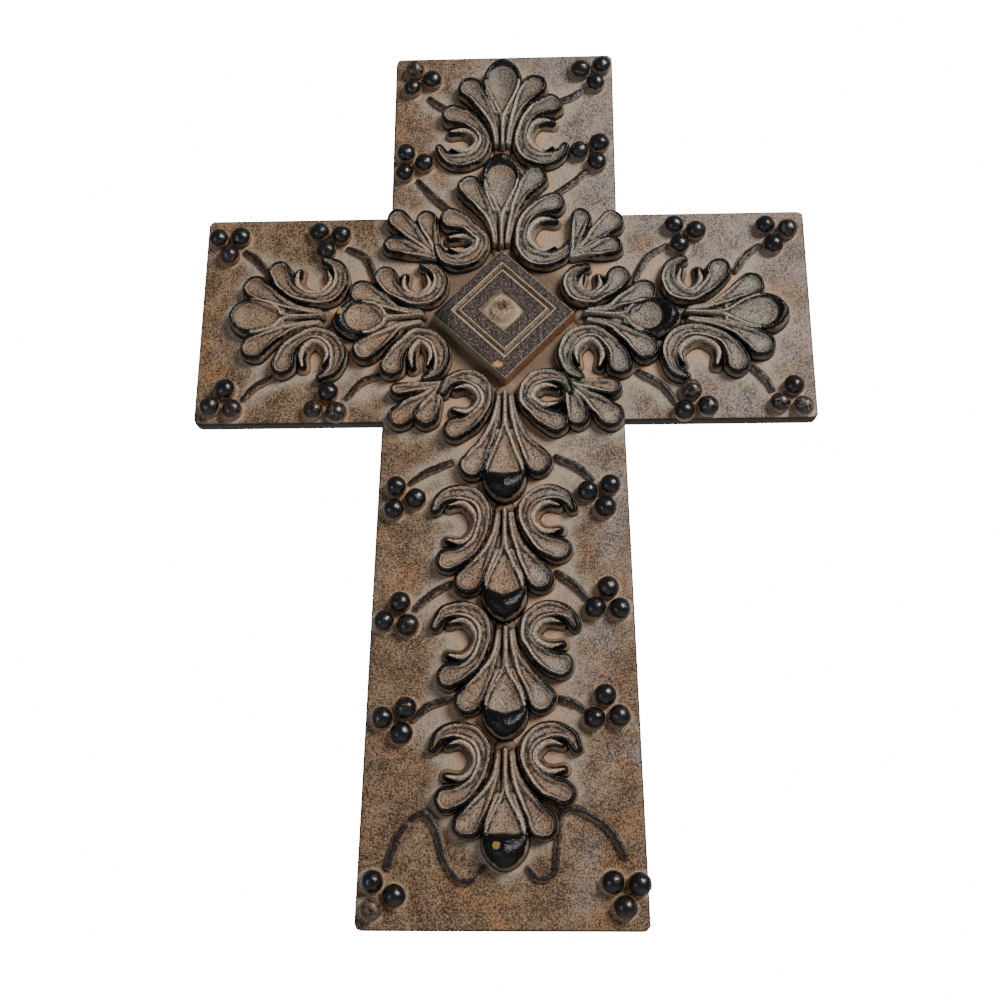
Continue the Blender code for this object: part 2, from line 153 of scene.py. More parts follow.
area_light("window", position=(0.95, -1.25, 0.55), aim=(0.0, 0.0, -0.05), size=0.7, power=37.5,
           colour="#FFFFFF")
area_light("cool_gleam", position=(-0.75, -0.75, -0.5), aim=(0.0, 0.0, -0.1), size=0.3, power=2.6,
           colour="#C9D8F5")
world = bpy.data.worlds.new("room")
world.use_nodes = True
room = world.node_tree
direction = add(room, "SeparateXYZ", {0: add(room, "TexCoord")}, out=1)
behind = add(room, "MapRange", (direction, 0.1, 0.8, NEAR_SIDE, FAR_SIDE))
backdrop = add(room, "Math", (add(room, "LightPath"), BACKDROP), operation="MULTIPLY")
strength = add(room, "Math", (behind, backdrop), operation="MAXIMUM")
room.nodes["Background"].inputs["Color"].default_value = linear("#FFFFFF")
room.links.new(strength, room.nodes["Background"].inputs["Strength"])
bpy.context.scene.world = world

floor_mesh = bpy.data.meshes.new("floor")
floor_corners = [(x * FLOOR_HALF, y * FLOOR_HALF, -FLOOR_DROP)
                 for x, y in ((-1, -1), (1, -1), (1, 1), (-1, 1))]
floor_mesh.from_pydata(floor_corners, [], [(0, 1, 2, 3)])
floor = bpy.data.objects.new("floor", floor_mesh)
bpy.context.scene.collection.objects.link(floor)
plaster = bpy.data.materials.new("pale_matt_floor")
plaster.use_nodes = True
# plain wall paint: matt and without a gleam, so that it only returns soft light
matt_wall = plaster.node_tree.nodes["Principled BSDF"].inputs
matt_wall["Base Color"].default_value = linear("#EDEDED")
matt_wall["Roughness"].default_value = 0.9
floor_mesh.materials.append(plaster)
print("lights:", [light.name for light in bpy.data.lights], "and a floor at", -FLOOR_DROP, "m")

# %% [markdown]
# ## The slab's outline
# The slab is a plain cross: straight edges, small round corners, and a lower arm that widens to the
# foot. A signed distance to that outline, negative inside, gives three things at once: which points
# lie on the slab, where its rim goes, and how far the worn paint reaches in from its edges.

# %% Slab outline
HEIGHT, SPAN, BAR = 457.0, 313.0, 116.0
TOP_WIDTH, LOWER_WIDTH, FOOT_WIDTH = 118.7, 121.6, 132.0
CORNER_RADIUS, EDGE_ROUNDING = 3.5, 1.2


def slab_corners():
    right = [(FOOT_WIDTH / 2, -FOOT_DROP), (LOWER_WIDTH / 2, -BAR / 2), (SPAN / 2, -BAR / 2),
             (SPAN / 2, BAR / 2), (TOP_WIDTH / 2, BAR / 2), (TOP_WIDTH / 2, HEIGHT - FOOT_DROP)]
    return right + [(-x, z) for x, z in reversed(right)]


def to_segment(x, z, ax, az, bx, bz):
    """The distance of points to a straight segment, and their share of the way along it."""
    length = (bx - ax) ** 2 + (bz - az) ** 2
    t = np.clip(((x - ax) * (bx - ax) + (z - az) * (bz - az)) / length, 0.0, 1.0)
    return np.hypot(x - ax - t * (bx - ax), z - az - t * (bz - az)), t


def slab_distance(x, z):
    """Signed distance to the slab's outline, with its outer corners rounded."""
    distance, inside = np.full(x.shape, np.inf), np.zeros(x.shape, bool)
    corners = slab_corners()
    for (ax, az), (bx, bz) in zip(corners, corners[1:] + corners[:1]):
        distance = np.minimum(distance, to_segment(x, z, ax, az, bx, bz)[0])
        if az != bz:
            inside ^= ((az > z) != (bz > z)) & (x < ax + (z - az) / (bz - az) * (bx - ax))
    distance = np.where(inside, -distance, distance)
    inner_corners = ((TOP_WIDTH / 2, BAR / 2), (LOWER_WIDTH / 2, -BAR / 2))
    for cx, cz in corners:
        if (abs(cx), cz) in inner_corners:
            continue
        mx = math.copysign(abs(cx) - CORNER_RADIUS, cx)
        mz = math.copysign(abs(cz) - CORNER_RADIUS, cz)
        beyond = ((x - mx) * math.copysign(1, cx) > 0) & ((z - mz) * math.copysign(1, cz) > 0)
        distance = np.where(beyond, np.hypot(x - mx, z - mz) - CORNER_RADIUS, distance)
    return distance


print("outline corners:", slab_corners()[:6])

# %% [markdown]
# ## A lattice to carve on
# A relief seen from the front is a height over a plane, so it can be carved on a lattice of points,
# as a carver works down from a block. Each leaf is laid on with the rule that the higher form wins,
# which makes the sharp valleys between neighbours by itself. The lattice also remembers, point by
# point, how deep inside its leaf it lies, because the paint follows the rims.

# %% Lattice
CELL = 0.36
BORDER = 6 * CELL
SINK = -4.5
HAND = 0.3
MARKS = {"rim": -3.0, "run": 0.0, "nose": -9.0}
half_span = SPAN / 2 + BORDER
X_LINES = np.arange(-half_span, half_span + CELL, CELL)
Z_LINES = np.arange(-FOOT_DROP - BORDER, HEIGHT - FOOT_DROP + BORDER, CELL)


class Carving:
    """Heights and paint marks on the lattice, for pieces that are cut as one."""

    def __init__(self):
        shape = (len(Z_LINES), len(X_LINES))
        self.height = np.full(shape, SINK)
        self.marks = {name: np.full(shape, value) for name, value in MARKS.items()}

    def window(self, path, margin=4.0):
        """The part of the lattice that a path can touch, with its coordinates."""
        path = np.asarray(path)
        r = path[:, 2].max() + margin
        i0, i1 = np.searchsorted(X_LINES, (path[:, 0].min() - r, path[:, 0].max() + r))
        j0, j1 = np.searchsorted(Z_LINES, (path[:, 1].min() - r, path[:, 1].max() + r))
        return (slice(j0, j1), slice(i0, i1)), *np.meshgrid(X_LINES[i0:i1], Z_LINES[j0:j1])

    def lay(self, window, height, **marks):
        """Keep the higher form at each point, with its marks."""
        higher = height > self.height[window]
        self.height[window][higher] = height[higher]
        for name, field in self.marks.items():
            value = np.broadcast_to(marks.get(name, MARKS[name]), higher.shape)
            field[window][higher] = value[higher]


def curve_through(points, steps=6, rounds=0):
    """Rows (x, z, radius) of a smooth curve through the given rows; each round eases its bends."""
    rows = np.array(points, float)
    rows = np.vstack([2 * rows[0] - rows[1], rows, 2 * rows[-1] - rows[-2]])
    curve = []
    for a, b, c, d in zip(rows, rows[1:], rows[2:], rows[3:]):
        for t in np.arange(steps) / steps:
            curve.append(0.5 * (2 * b + (c - a) * t + (2 * a - 5 * b + 4 * c - d) * t ** 2
                                + (3 * b - 3 * c + d - a) * t ** 3))
    curve = np.array(curve + [rows[-2]])
    for _ in range(rounds):
        curve[1:-1] = (curve[:-2] + 2 * curve[1:-1] + curve[2:]) / 4
    return curve


def distance_to(path, x, z):
    """Signed distance to a path of changing radius, the radius there and the share of the run."""
    distance = np.full(x.shape, np.inf)
    radius, run = np.zeros(x.shape), np.zeros(x.shape)
    for i, ((ax, az, ar), (bx, bz, br)) in enumerate(zip(path, path[1:])):
        away, t = to_segment(x, z, ax, az, bx, bz)
        r = ar + t * (br - ar)
        s = away - r
        nearer = s < distance
        distance[nearer], radius[nearer] = s[nearer], r[nearer]
        run[nearer] = (i + t[nearer]) / (len(path) - 1)
    return distance, radius, run


LATTICE_X, LATTICE_Z = np.meshgrid(X_LINES, Z_LINES)
# how far, in mm, a carver's hand strays from an outline: crossed waves that never fall into step
by_hand = HAND * (np.sin(LATTICE_X / 2.6 + 2.0 * np.sin(LATTICE_Z / 6.1))
                  * np.sin(LATTICE_Z / 3.1 + 1.0) + 0.7 * np.sin((LATTICE_X - 2 * LATTICE_Z) / 8.3))
print("lattice points:", LATTICE_X.size)

# %% [markdown]
# ## One leaf
# Every leaf, lobe and curl of the relief is the same form: a hollow tongue with a rolled rim. In
# section the outside rises steeply from the ground, rounds over at the rim's crest and falls into
# the dish. The rim's crest lies 0.6 mm inside the outline, and the real rims are about 1.2 mm wide.
# The curls inside the volutes are plain round ridges.

# %% Leaf
LEAF_ROOT, LEAF_END = 4.2, 6.8
CREST, RIM, RIM_RISE, DRAFT, HOLLOW = 0.6, 1.6, 0.65, 1.5, 0.26
WALL_CURVE, WALL_REACH = 2.4, 1.7
ROLL_SLOPE, ROLL_FALL, ROLL_ROUND = 2.4, 0.12, 0.3


def lay_leaf(carving, path, root_height, end_height, both_ends=False):
    """A hollow tongue with a rolled rim along a path; the paint marks its far end, or both ends."""
    window, x, z = carving.window(path)
    distance, radius, run = distance_to(path, x, z)
    depth = by_hand[window] * np.minimum(radius / 4, 1) - distance
    top = root_height + (end_height - root_height) * smooth(run)
    crest = np.minimum(CREST, radius * 0.6)
    outside = np.clip((crest - depth) / (crest + DRAFT), 0.0, WALL_REACH)
    wall = (top + RIM_RISE) * (1 - outside ** WALL_CURVE)
    core = np.maximum(radius - crest, 0.5)
    bowl = HOLLOW * core * (1 - np.clip((radius - depth) / core, 0, 1) ** 2)
    into_dish = smooth((depth - crest) / np.minimum(RIM - CREST, core))
    dish = top + RIM_RISE - (RIM_RISE + bowl) * into_dish
    height = np.where(depth < crest, wall, dish)
    end_mark = np.maximum(run, np.clip(1.15 - 1.4 * run, 0, 1)) if both_ends else run
    carving.lay(window, np.maximum(height, SINK), rim=depth, run=end_mark)


def lay_roll(carving, path, height_top):
    """A round ridge with a soft slope on both sides."""
    window, x, z = carving.window(path, 6.0)
    distance, radius, run = distance_to(path, x, z)
    across = np.maximum(1 + distance / radius, 0)
    top = height_top * (1 - ROLL_FALL * smooth(run))
    height = np.where(across < 1, top * (1 - ROLL_ROUND * across ** 2),
                      top * (1 - ROLL_ROUND) * (1 - distance / ROLL_SLOPE))
    carving.lay(window, np.maximum(height, SINK), rim=1.6 - 1.5 * across, run=np.abs(2 * run - 1))


sample = Carving()
lay_leaf(sample, curve_through([(0, 0, 1.5), (5, 20, 2.5), (12, 34, 6)]), LEAF_ROOT, LEAF_END)
print("a leaf stands", round(float(sample.height.max()), 2), "mm high")

# %% [markdown]
# ## The middle leaf and its nose
# Each palmette ends in a spoon: a fan-shaped cup inside a rim that swells into a round nose. On the
# upper arms the cup's end is round and the nose is a crescent. On the lower arm the cup ends in a
# straight or notched line and the nose is a full, glossy ball. Two narrow flutes flank the cup.

# %% Spoon
NOSE_BULGE, NOSE_RADIUS, CUP_RADIUS, NOSE_FOOT = 0.42, 10.5, 7.6, 3.4
ROUND_CUP_BLACK, NOSE_BARE = 9.0, 0.6


def lay_spoon(carving, outer, cup, across_cup, past_cup):
    """A cup inside a rim that swells into a nose; across_cup cuts the cup's end off, and the nose's
    paint starts where past_cup is positive."""
    window, x, z = carving.window(outer)
    distance, _, run = distance_to(outer, x, z)
    cup_distance, cup_radius, _ = distance_to(cup, x, z)
    depth = -distance
    cup_edge = cup_distance if across_cup is None else np.maximum(cup_distance, across_cup(x, z))
    top = LEAF_ROOT + (LEAF_END - LEAF_ROOT) * smooth(run)
    width = np.maximum(depth + cup_edge, 0.4)
    share = np.clip(depth / width, 0, 1)
    crest = top + NOSE_BULGE * width
    arch = np.sqrt(np.clip(1 - (2 * share - 1) ** 2, 0, 1))
    rise_from = np.where(share < 0.5, NOSE_FOOT, top)
    swollen = rise_from + (crest - rise_from) * arch
    bowl = HOLLOW * cup_radius * (1 - np.clip(cup_distance / cup_radius + 1, 0, 1) ** 2)
    inner = np.where(cup_edge > 0, swollen, top - bowl * smooth(-cup_edge / 2.5))
    wall = NOSE_FOOT * (1 - np.clip(-depth, 0, 2.5) / 0.9)
    height = np.where(depth < 0, np.maximum(wall, SINK), inner)
    below = past_cup(x, z)
    black = np.minimum(np.minimum(cup_edge, depth - NOSE_BARE * smooth(below / 7)), below)
    carving.lay(window, height, rim=np.where((below > 0) & (cup_edge > 0), -1.5, depth),
                run=run, nose=black)


print("a nose 13 mm wide rises", round(NOSE_BULGE * 13, 1), "mm over its leaf")

# %% [markdown]
# ## A palmette
# A palmette is a fan with two volutes: on each side a volute that runs on into an outer lobe, a curl
# inside it, an inner leaf and a flute, with the spoon in the middle. Ten of them run out along the
# arms. They come from the same pattern, and a table gives each one its place, its turn, its length,
# its nose and how far its two sides reach, as the carver's hand varied them.

# %% Palmette pattern and table
STEM_HEIGHT, CUP_START = 4.0, 36
STEM_FILL = ((0, 12, 4.0), (0, 28, 6.5), (0, 42, 11.0))
VOLUTE = ((33, 12, 1.9), (29.5, 6, 3.0), (21, 3.8, 3.8), (12.5, 7.5, 3.6), (9.5, 16, 2.9))
LOBE_END = ((12.5, -9, 3.0), (19, -2.5, 4.2), (26, 0, 5.6))
CURL = ((26.5, 10.8, 0.9), (19.0, 9.0, 1.6))
CURL_MIDDLE, CURL_RADIUS = 12.6, 1.9
CURL_END = ((18.6, -9.2, 1.8), (26.8, -10.3, 1.4))
INNER_LEAF = ((3, 15, 1.1), (4.6, 25, 1.6))
INNER_LEAF_END = ((9, -12, 3.1), (16.8, 0, 6.3))
SPOON = ((0, 13, 1.2), (0, 28, 1.5), (0, 36, 3.4))
SPOON_END = ((0, -20, 8.4), (0, -15, 10.0), (0, -11.5, NOSE_RADIUS), (0, -6.2, 6.2))
FLUTE = ((3.2, 34, 1.5), (4.3, 38, 1.9))
FLUTE_END = ((7.7, -21, 1.6), (9.0, -16.5, 0.8))

# place x, z, direction, length, nose, then for both sides (spread, lobe's reach, leaf's reach), and
# the depth of the notch in the cup's end, or None where the cup is round
PALMETTES = {
    "top_palmettes": (
        (-0.5, 85.0, 90, 66, 5.0, (1.00, 37, 49), (1.02, 32, 48), None),
        (-1.0, 25.3, 90, 67, 7.5, (1.04, 37, 52), (1.00, 28, 47), None)),
    "left_palmettes": (
        (-80.0, -1.0, 180, 61, 3.0, (0.97, 36, 48), (1.02, 32, 47), None),
        (-28.0, -1.0, 182, 59, 6.5, (0.87, 32, 44), (1.05, 29, 42), None)),
    "right_palmettes": (
        (80.0, -1.5, -1, 65, 6.0, (1.05, 38, 50), (0.92, 30, 46), None),
        (29.0, -0.5, -4, 61, 9.0, (1.05, 32, 44), (0.80, 29, 42), None)),
    "lower_palmettes": (
        (1.0, -31.5, -90, 70, 14.0, (0.94, 32, 51), (0.99, 29, 50), 0.8),
        (1.0, -93.0, -90, 67.5, 12.0, (1.02, 38, 48), (1.00, 33, 47), 3.6)),
    "foot_palmettes": (
        (1.5, -151.0, -90, 65, 11.5, (1.00, 36, 47), (1.00, 31, 46), 2.6),
        (1.5, -208.0, -90, 66, 16.0, (1.00, 35, 46), (1.00, 32, 46), -0.5)),
    }
print("palmettes:", sum(len(rows) for rows in PALMETTES.values()))

# %% Lay the palmettes


def ended(start, end, reach):
    """A pattern's rows, with those of its end moved to where the end is."""
    return start + tuple((u, reach + v, r) for u, v, r in end)


def lay_palmette(carving, x, z, degrees, length, nose, first_side, second_side, notch):
    """A fan of leaves and two volutes; u runs across it and v along it."""
    along = (math.cos(math.radians(degrees)), math.sin(math.radians(degrees)))

    def placed(rows, spread=1.0):
        turned = [(x + along[0] * v - along[1] * u * spread,
                   z + along[1] * v + along[0] * u * spread, r) for u, v, r in rows]
        return curve_through(turned, 8, 10)

    def across_cup(gx, gz):
        v = (gx - x) * along[0] + (gz - z) * along[1]
        u = (gz - z) * along[0] - (gx - x) * along[1]
        return v - (length - nose - (notch or 0) * np.clip(np.abs(u) / 8.5, 0, 1.2))

    def past_cup(gx, gz):
        return across_cup(gx, gz) + (ROUND_CUP_BLACK if notch is None else 0.6)

    window, gx, gz = carving.window(placed(STEM_FILL))
    distance, _, run = distance_to(placed(STEM_FILL), gx, gz)
    fill = 1.2 + (STEM_HEIGHT - 1.2) * smooth(run * 1.8)
    carving.lay(window, np.clip(fill * (1 - distance / DRAFT), SINK, fill))
    for side, (spread, reach, inner) in ((-1, first_side), (1, second_side)):
        spread = side * spread
        lay_leaf(carving, placed(ended(VOLUTE, LOBE_END, reach), spread), LEAF_ROOT + 1.2, LEAF_END,
                 both_ends=True)
        middle = ((CURL_MIDDLE, (CURL[-1][1] + reach + CURL_END[0][1]) / 2, CURL_RADIUS),)
        lay_roll(carving, placed(ended(CURL + middle, CURL_END, reach), spread), LEAF_END - 0.4)
        lay_leaf(carving, placed(ended(INNER_LEAF, INNER_LEAF_END, inner), spread),
                 LEAF_ROOT, LEAF_END)
    cup_end = length - nose - CUP_RADIUS if notch is None else length - 14
    cup = placed([(0, CUP_START, 1.2), (0, (CUP_START + cup_end) / 2, CUP_RADIUS * 0.6),
                  (0, cup_end, CUP_RADIUS)])
    lay_spoon(carving, placed(ended(SPOON, SPOON_END, length)), cup,
              None if notch is None else across_cup, past_cup)
    for side in (-1, 1):
        lay_leaf(carving, placed(ended(FLUTE, FLUTE_END, length), side),
                 LEAF_ROOT + 0.6, LEAF_END - 0.6)


carvings = {}
for name, rows in PALMETTES.items():
    carvings[name] = Carving()
    for row in rows:
        lay_palmette(carvings[name], *row)
print("carved:", ", ".join(carvings))

# %% [markdown]
# ## Corner sprays
# Over each inner corner of the slab a spray of three short lobes fans out from behind the diamond.
# The lobes hang a few millimetres over the slab's edge, so they are not cut at its outline.

# %% Corner sprays
SPRAYS = (
    ((-34, 32), ((-40, 53, 5.0), (-55, 54, 5.5), (-56.5, 39, 5.0))),
    ((36, 32), ((40.5, 53, 5.0), (56, 50.5, 6.0), (56, 36.5, 5.5))),
    ((-31, -39), ((-52.5, -42.5, 3.6), (-51, -56.5, 5.7), (-38, -56.5, 5.7))),
    ((32, -38), ((54.5, -42.5, 4.5), (53.5, -57, 6.2), (37, -57, 5.7))),
    )
carvings["corner_sprays"] = Carving()
for (rx, rz), ends in SPRAYS:
    for x, z, radius in ends:
        rows = ((0, 1.4), (0.35, 2.2), (0.7, radius * 0.75), (1, radius))
        path = curve_through([(rx + (x - rx) * share, rz + (z - rz) * share, r)
                              for share, r in rows])
        lay_leaf(carvings["corner_sprays"], path, LEAF_ROOT, LEAF_END)
print("spray lobes:", sum(len(ends) for _, ends in SPRAYS))

# %% [markdown]
# ## Where the berries lie
# Twenty clusters of three berries fill the corners of the ground, and a short stem leads to most of
# them from under a leaf. Their places are needed before their shapes, because the ground's paint
# changes round them. Each berry has a wear, because some have lost their gloss.

# %% Berry clusters
BERRY_RADIUS, BERRY_CENTRE, BERRY_SPACING = 5.35, 2.6, 6.75
# centre, turn in degrees, stem's far end, near end and bow, then the wear of the three berries
CLUSTERS = (
    (-45.7, 141.3, -6, (-29, 122), (-41, 131), 0.5, (0.2, 0.75, 0.3)),
    (48.3, 143.3, 42, (31, 127), (43, 134), -1.0, (0.3, 0.4, 0.1)),
    (-49.0, 89.0, -2, (-22, 56), (-46, 80), 1.0, (0.2, 0.3, 0.1)),
    (47.0, 93.7, 52, (29, 71), (44, 84), -1.0, (0.1, 0.4, 0.2)),
    (-143.7, 42.7, 33, (-124, 28), (-136, 39), -1.0, (0.3, 0.2, 0.5)),
    (-141.7, -46.7, 82, (-117, -33), (-132, -45), -1.5, (0.3, 0.5, 0.6)),
    (-91.3, 44.3, 20, (-67, 24), (-82, 40), -3.5, (0.2, 0.3, 0.4)),
    (-89.0, -49.0, 83, (-60, -32), (-79, -45), -3.0, (0.2, 0.6, 0.6)),
    (93.3, 44.3, 12, (68, 20), (85, 39), 3.0, (0.4, 0.1, 0.0)),
    (95.3, -50.0, 101, (69, -33), (87, -50), 2.5, (0.7, 0.3, 0.5)),
    (140.7, 43.7, 18, (120, 24), (133, 38), 1.5, (0.5, 0.1, 0.0)),
    (143.7, -48.3, 81, (126, -31), (135, -44), 1.0, (0.2, 0.6, 0.8)),
    (-49.3, -98.7, -4, (-26, -80), (-46, -90.5), -1.0, (0.1, 0.0, 0.0)),
    (48.0, -97.7, 47, (27, -78), (45, -90), 1.5, (0.0, 0.1, 0.0)),
    (-50.0, -157.7, 80, (-26, -142), (-42, -154), -1.0, (0.3, 0.4, 0.4)),
    (50.0, -151.0, 87, (27, -137), (41, -149.5), 1.0, (0.3, 0.0, 0.0)),
    (-49.0, -206.7, 52, (-25, -197), (-42, -207), -2.0, (0.4, 0.3, 0.1)),
    (48.3, -202.3, 94, (27, -197), (40, -203), 1.0, (0.1, 0.0, 0.3)),
    (-54.7, -284.7, -1, None, None, 0, (0.1, 0.2, 0.9)),
    (55.3, -282.7, 26, None, None, 0, (0.1, 0.0, 0.3)),
    )
berry_points, berry_wear = [], []
for x, z, turned, _, _, _, wear in CLUSTERS:
    for k in range(3):
        angle = math.radians(turned + 120 * k)
        berry_points.append(((x + BERRY_SPACING * math.cos(angle)) * MM,
                             (-SLAB - BERRY_CENTRE) * MM,
                             (z + BERRY_SPACING * math.sin(angle)) * MM))
        berry_wear.append(wear[k])
point_mesh = bpy.data.meshes.new("berry_points")
point_mesh.from_pydata(berry_points, [], [])
point_mesh.attributes.new("wear", "FLOAT", "POINT").data.foreach_set("value", berry_wear)
print("berries:", len(berry_points))

# %% [markdown]
# ## Where paint gathers
# A glaze wiped over a relief stays in the deep places and leaves a pale bloom on the ground round
# the carving. Both follow from the heights alone. A box blur of the relief's footprint gives the
# bloom, and the difference between the blurred and the true height gives the depth of each valley.

# %% Blurred fields


def blurred(field, half_width):
    """A box blur along both axes, done three times, which is close to a soft round one."""
    n = max(1, int(round(half_width / CELL)))
    for _ in range(3):
        for axis in (0, 1):
            padded = np.concatenate([np.repeat(np.take(field, [0], axis), n + 1, axis), field,
                                     np.repeat(np.take(field, [-1], axis), n, axis)], axis)
            total = np.cumsum(padded, axis)
            size = field.shape[axis]
            field = (np.take(total, range(2 * n + 1, 2 * n + 1 + size), axis)
                     - np.take(total, range(size), axis)) / (2 * n + 1)
    return field


relief = np.max([carving.height for carving in carvings.values()], axis=0)
under_diamond = np.abs(LATTICE_X) + np.abs(LATTICE_Z + 2) < 36.5
footprint = ((relief > 0.0) | under_diamond).astype(float)
for far, near in (row[3:5] for row in CLUSTERS if row[3]):
    footprint[distance_to([(*far, 3.0), (*near, 2.5)], LATTICE_X, LATTICE_Z)[0] < 0] = 1.0
risen = np.maximum(relief, 0)
valley = np.clip(blurred(risen, 0.9) - risen, -3, 3)
bloom, nook = blurred(footprint, 4.0), blurred(footprint, 7.0)
on_slab = slab_distance(LATTICE_X, LATTICE_Z) < 0
print("share of the slab that the relief covers:", round(float(footprint[on_slab].mean()), 2))

# %% [markdown]
# ## From lattice to mesh
# The kept cells of the lattice become quads. A piece of the relief is closed under the slab's face:
# its rim is extruded to one level and filled, so that every piece is a closed body. The marks are
# stored on the points as named attributes, which the materials read. The blind slot for the hook
# reaches from the slab's back into the diamond, so the fill of both can leave it open.

# %% Mesh makers
SLOT_WIDTH, SLOT_LENGTH, SLOT_DEPTH, SLOT_TOP, SLOT_POINTS = 10.0, 18.0, 8.0, 29.0, 24
SLOT_GAP = 0.3
RELIEF_BACK = -SLAB - SINK + 0.6


def whole_cells(kept):
    """The cells whose four corners are kept, and how many of them meet at each point."""
    cell = kept[:-1, :-1] & kept[1:, :-1] & kept[1:, 1:] & kept[:-1, 1:]
    meeting = np.zeros(kept.shape, int)
    for dj in (0, 1):
        for di in (0, 1):
            meeting[dj:dj + cell.shape[0], di:di + cell.shape[1]] += cell
    return cell, meeting


def cell_mesh(name, x, y, z, kept, marks):
    """A mesh of the lattice cells whose four corners are kept, with float attributes."""
    cell, meeting = whole_cells(kept)
    used = meeting > 0
    number = np.full(kept.shape, -1)
    number[used] = np.arange(np.count_nonzero(used))
    j, i = np.nonzero(cell)
    faces = np.column_stack([number[j, i], number[j, i + 1],
                             number[j + 1, i + 1], number[j + 1, i]])
    mesh = bpy.data.meshes.new(name)
    mesh.from_pydata(np.column_stack([x[used], y[used], z[used]]) * MM, [], faces)
    for mark, field in marks.items():
        layer = mesh.attributes.new(mark, "FLOAT", "POINT")
        layer.data.foreach_set("value", field[used].astype(np.float32))
    return mesh


def fill_round_slot(bm, level, gap=0.0):
    """Fill an open back round the slot, and give the slot its walls and its floor."""
    centre = SLOT_TOP - SLOT_LENGTH / 2
    radius, straight = SLOT_WIDTH / 2 + gap, (SLOT_LENGTH - SLOT_WIDTH) / 2
    slot = []
    for k in range(SLOT_POINTS):
        angle = 2 * math.pi * (k + 0.5) / SLOT_POINTS
        x, z = radius * math.cos(angle), radius * math.sin(angle)
        z += centre + math.copysign(straight, z)
        slot.append(bm.verts.new((x * MM, level * MM, z * MM)))
    slot_edges = [bm.edges.new((a, b)) for a, b in zip(slot, slot[1:] + slot[:1])]
    back = [edge for edge in bm.edges if edge.is_boundary or edge.is_wire]
    bmesh.ops.triangle_fill(bm, use_beauty=True, use_dissolve=False, edges=back)
    walls = bmesh.ops.extrude_edge_only(bm, edges=slot_edges)["geom"]
    bottom = [item for item in walls if isinstance(item, bmesh.types.BMVert)]
    for vert in bottom:
        vert.co.y = -(SLOT_DEPTH + gap) * MM
    bottom.sort(key=lambda vert: math.atan2(vert.co.z - centre * MM, vert.co.x))
    bm.faces.new(bottom)


def close_behind(mesh, level, has_slot=False):
    """Extrude the open rim to one level behind the face and fill it."""
    bm = bmesh.new()
    bm.from_mesh(mesh)
    rim = [edge for edge in bm.edges if edge.is_boundary]
    extruded = bmesh.ops.extrude_edge_only(bm, edges=rim)["geom"]
    for vert in (item for item in extruded if isinstance(item, bmesh.types.BMVert)):
        vert.co.y = level * MM
    if has_slot:
        fill_round_slot(bm, level, SLOT_GAP)
    else:
        back = [edge for edge in bm.edges if edge.is_boundary]
        bmesh.ops.triangle_fill(bm, use_beauty=True, use_dissolve=False, edges=back)
    bmesh.ops.recalc_face_normals(bm, faces=bm.faces)
    open_edges = sum(not edge.is_manifold for edge in bm.edges)
    bm.to_mesh(mesh)
    bm.free()
    return open_edges


def new_piece(name, mesh):
    """A smooth-shaded object of a mesh, at the origin."""
    piece = bpy.data.objects.new(name, mesh)
    bpy.context.scene.collection.objects.link(piece)
    mesh.shade_smooth()
    return piece


# a cast face is never quite flat: a tenth of a millimetre, over a few centimetres
ripple = (0.10 * np.sin(LATTICE_X / 9.1 + 1.3 * np.sin(LATTICE_Z / 17)) * np.sin(LATTICE_Z / 7.7)
          + 0.12 * np.sin((LATTICE_X + LATTICE_Z) / 23))
pieces = {}
for name, carving in carvings.items():
    mesh = cell_mesh(name, LATTICE_X, -SLAB - carving.height - ripple, LATTICE_Z,
                     carving.height > SINK + 0.01, dict(carving.marks, valley=valley))
    open_edges = close_behind(mesh, RELIEF_BACK)
    pieces[name] = new_piece(name, mesh)
    mesh.calc_loop_triangles()
    print(name, len(mesh.loop_triangles), "triangles,", open_edges, "open edges")

# %% [markdown]
# ## The diamond
# At the crossing sits a square plate on its corner, with a V groove all round and a square recess
# that holds a rough lump. Its edges are straight, so a lattice along X and Z would give them teeth.
# This plate is carved on its own lattice, turned by 45 degrees, whose lines run exactly along each
# edge of the steps. The inner squares sit 2 mm higher than the outer one, as on the real cross.

# %% Diamond
DIAMOND_X, DIAMOND_Z, DIAMOND_INNER_Z = 0.3, -2.0, 0.0
DIAMOND_SIDE, GROOVE_OUT, GROOVE_IN, RECESS = (
    tip / math.sqrt(2) for tip in (35.6, 26.2, 22.3, 12.4))
DIAMOND_HEIGHT, DIAMOND_DRAFT, DIAMOND_EDGE = 8.0, 1.1, 0.5
GROOVE_DEPTH, RECESS_WALL, RECESS_DEPTH = 1.9, 0.9, 2.0
LUMP_RADIUS, LUMP_HEIGHT, SKEW = 7.4, 2.3, 0.026
SPACING = 0.8
shift = (DIAMOND_Z - DIAMOND_INNER_Z) / math.sqrt(2)
groove_middle = (GROOVE_OUT + GROOVE_IN) / 2
inner_steps = (GROOVE_OUT + 0.25, GROOVE_OUT, groove_middle, GROOVE_IN,
               GROOVE_IN - 0.25, RECESS + 0.25, RECESS, RECESS - RECESS_WALL)
steps = [shift + s * (DIAMOND_SIDE + d) for s in (-1, 1)
         for d in (DIAMOND_DRAFT * 1.5, 0.0, -DIAMOND_EDGE)]
steps = sorted(steps + [s * r for s in (-1, 1) for r in inner_steps])
lines = np.concatenate([np.linspace(a, b, max(1, math.ceil((b - a) / SPACING)), endpoint=False)
                        for a, b in zip(steps, steps[1:])] + [steps[-1:]])
u, v = np.meshgrid(lines, lines)
z = DIAMOND_INNER_Z + (u + v) / math.sqrt(2)
x = DIAMOND_X + (u - v) / math.sqrt(2) - SKEW * z
inside = DIAMOND_SIDE - np.maximum(np.abs(u - shift), np.abs(v - shift))
square = np.maximum(np.abs(u), np.abs(v))
half_groove = (GROOVE_OUT - GROOVE_IN) / 2
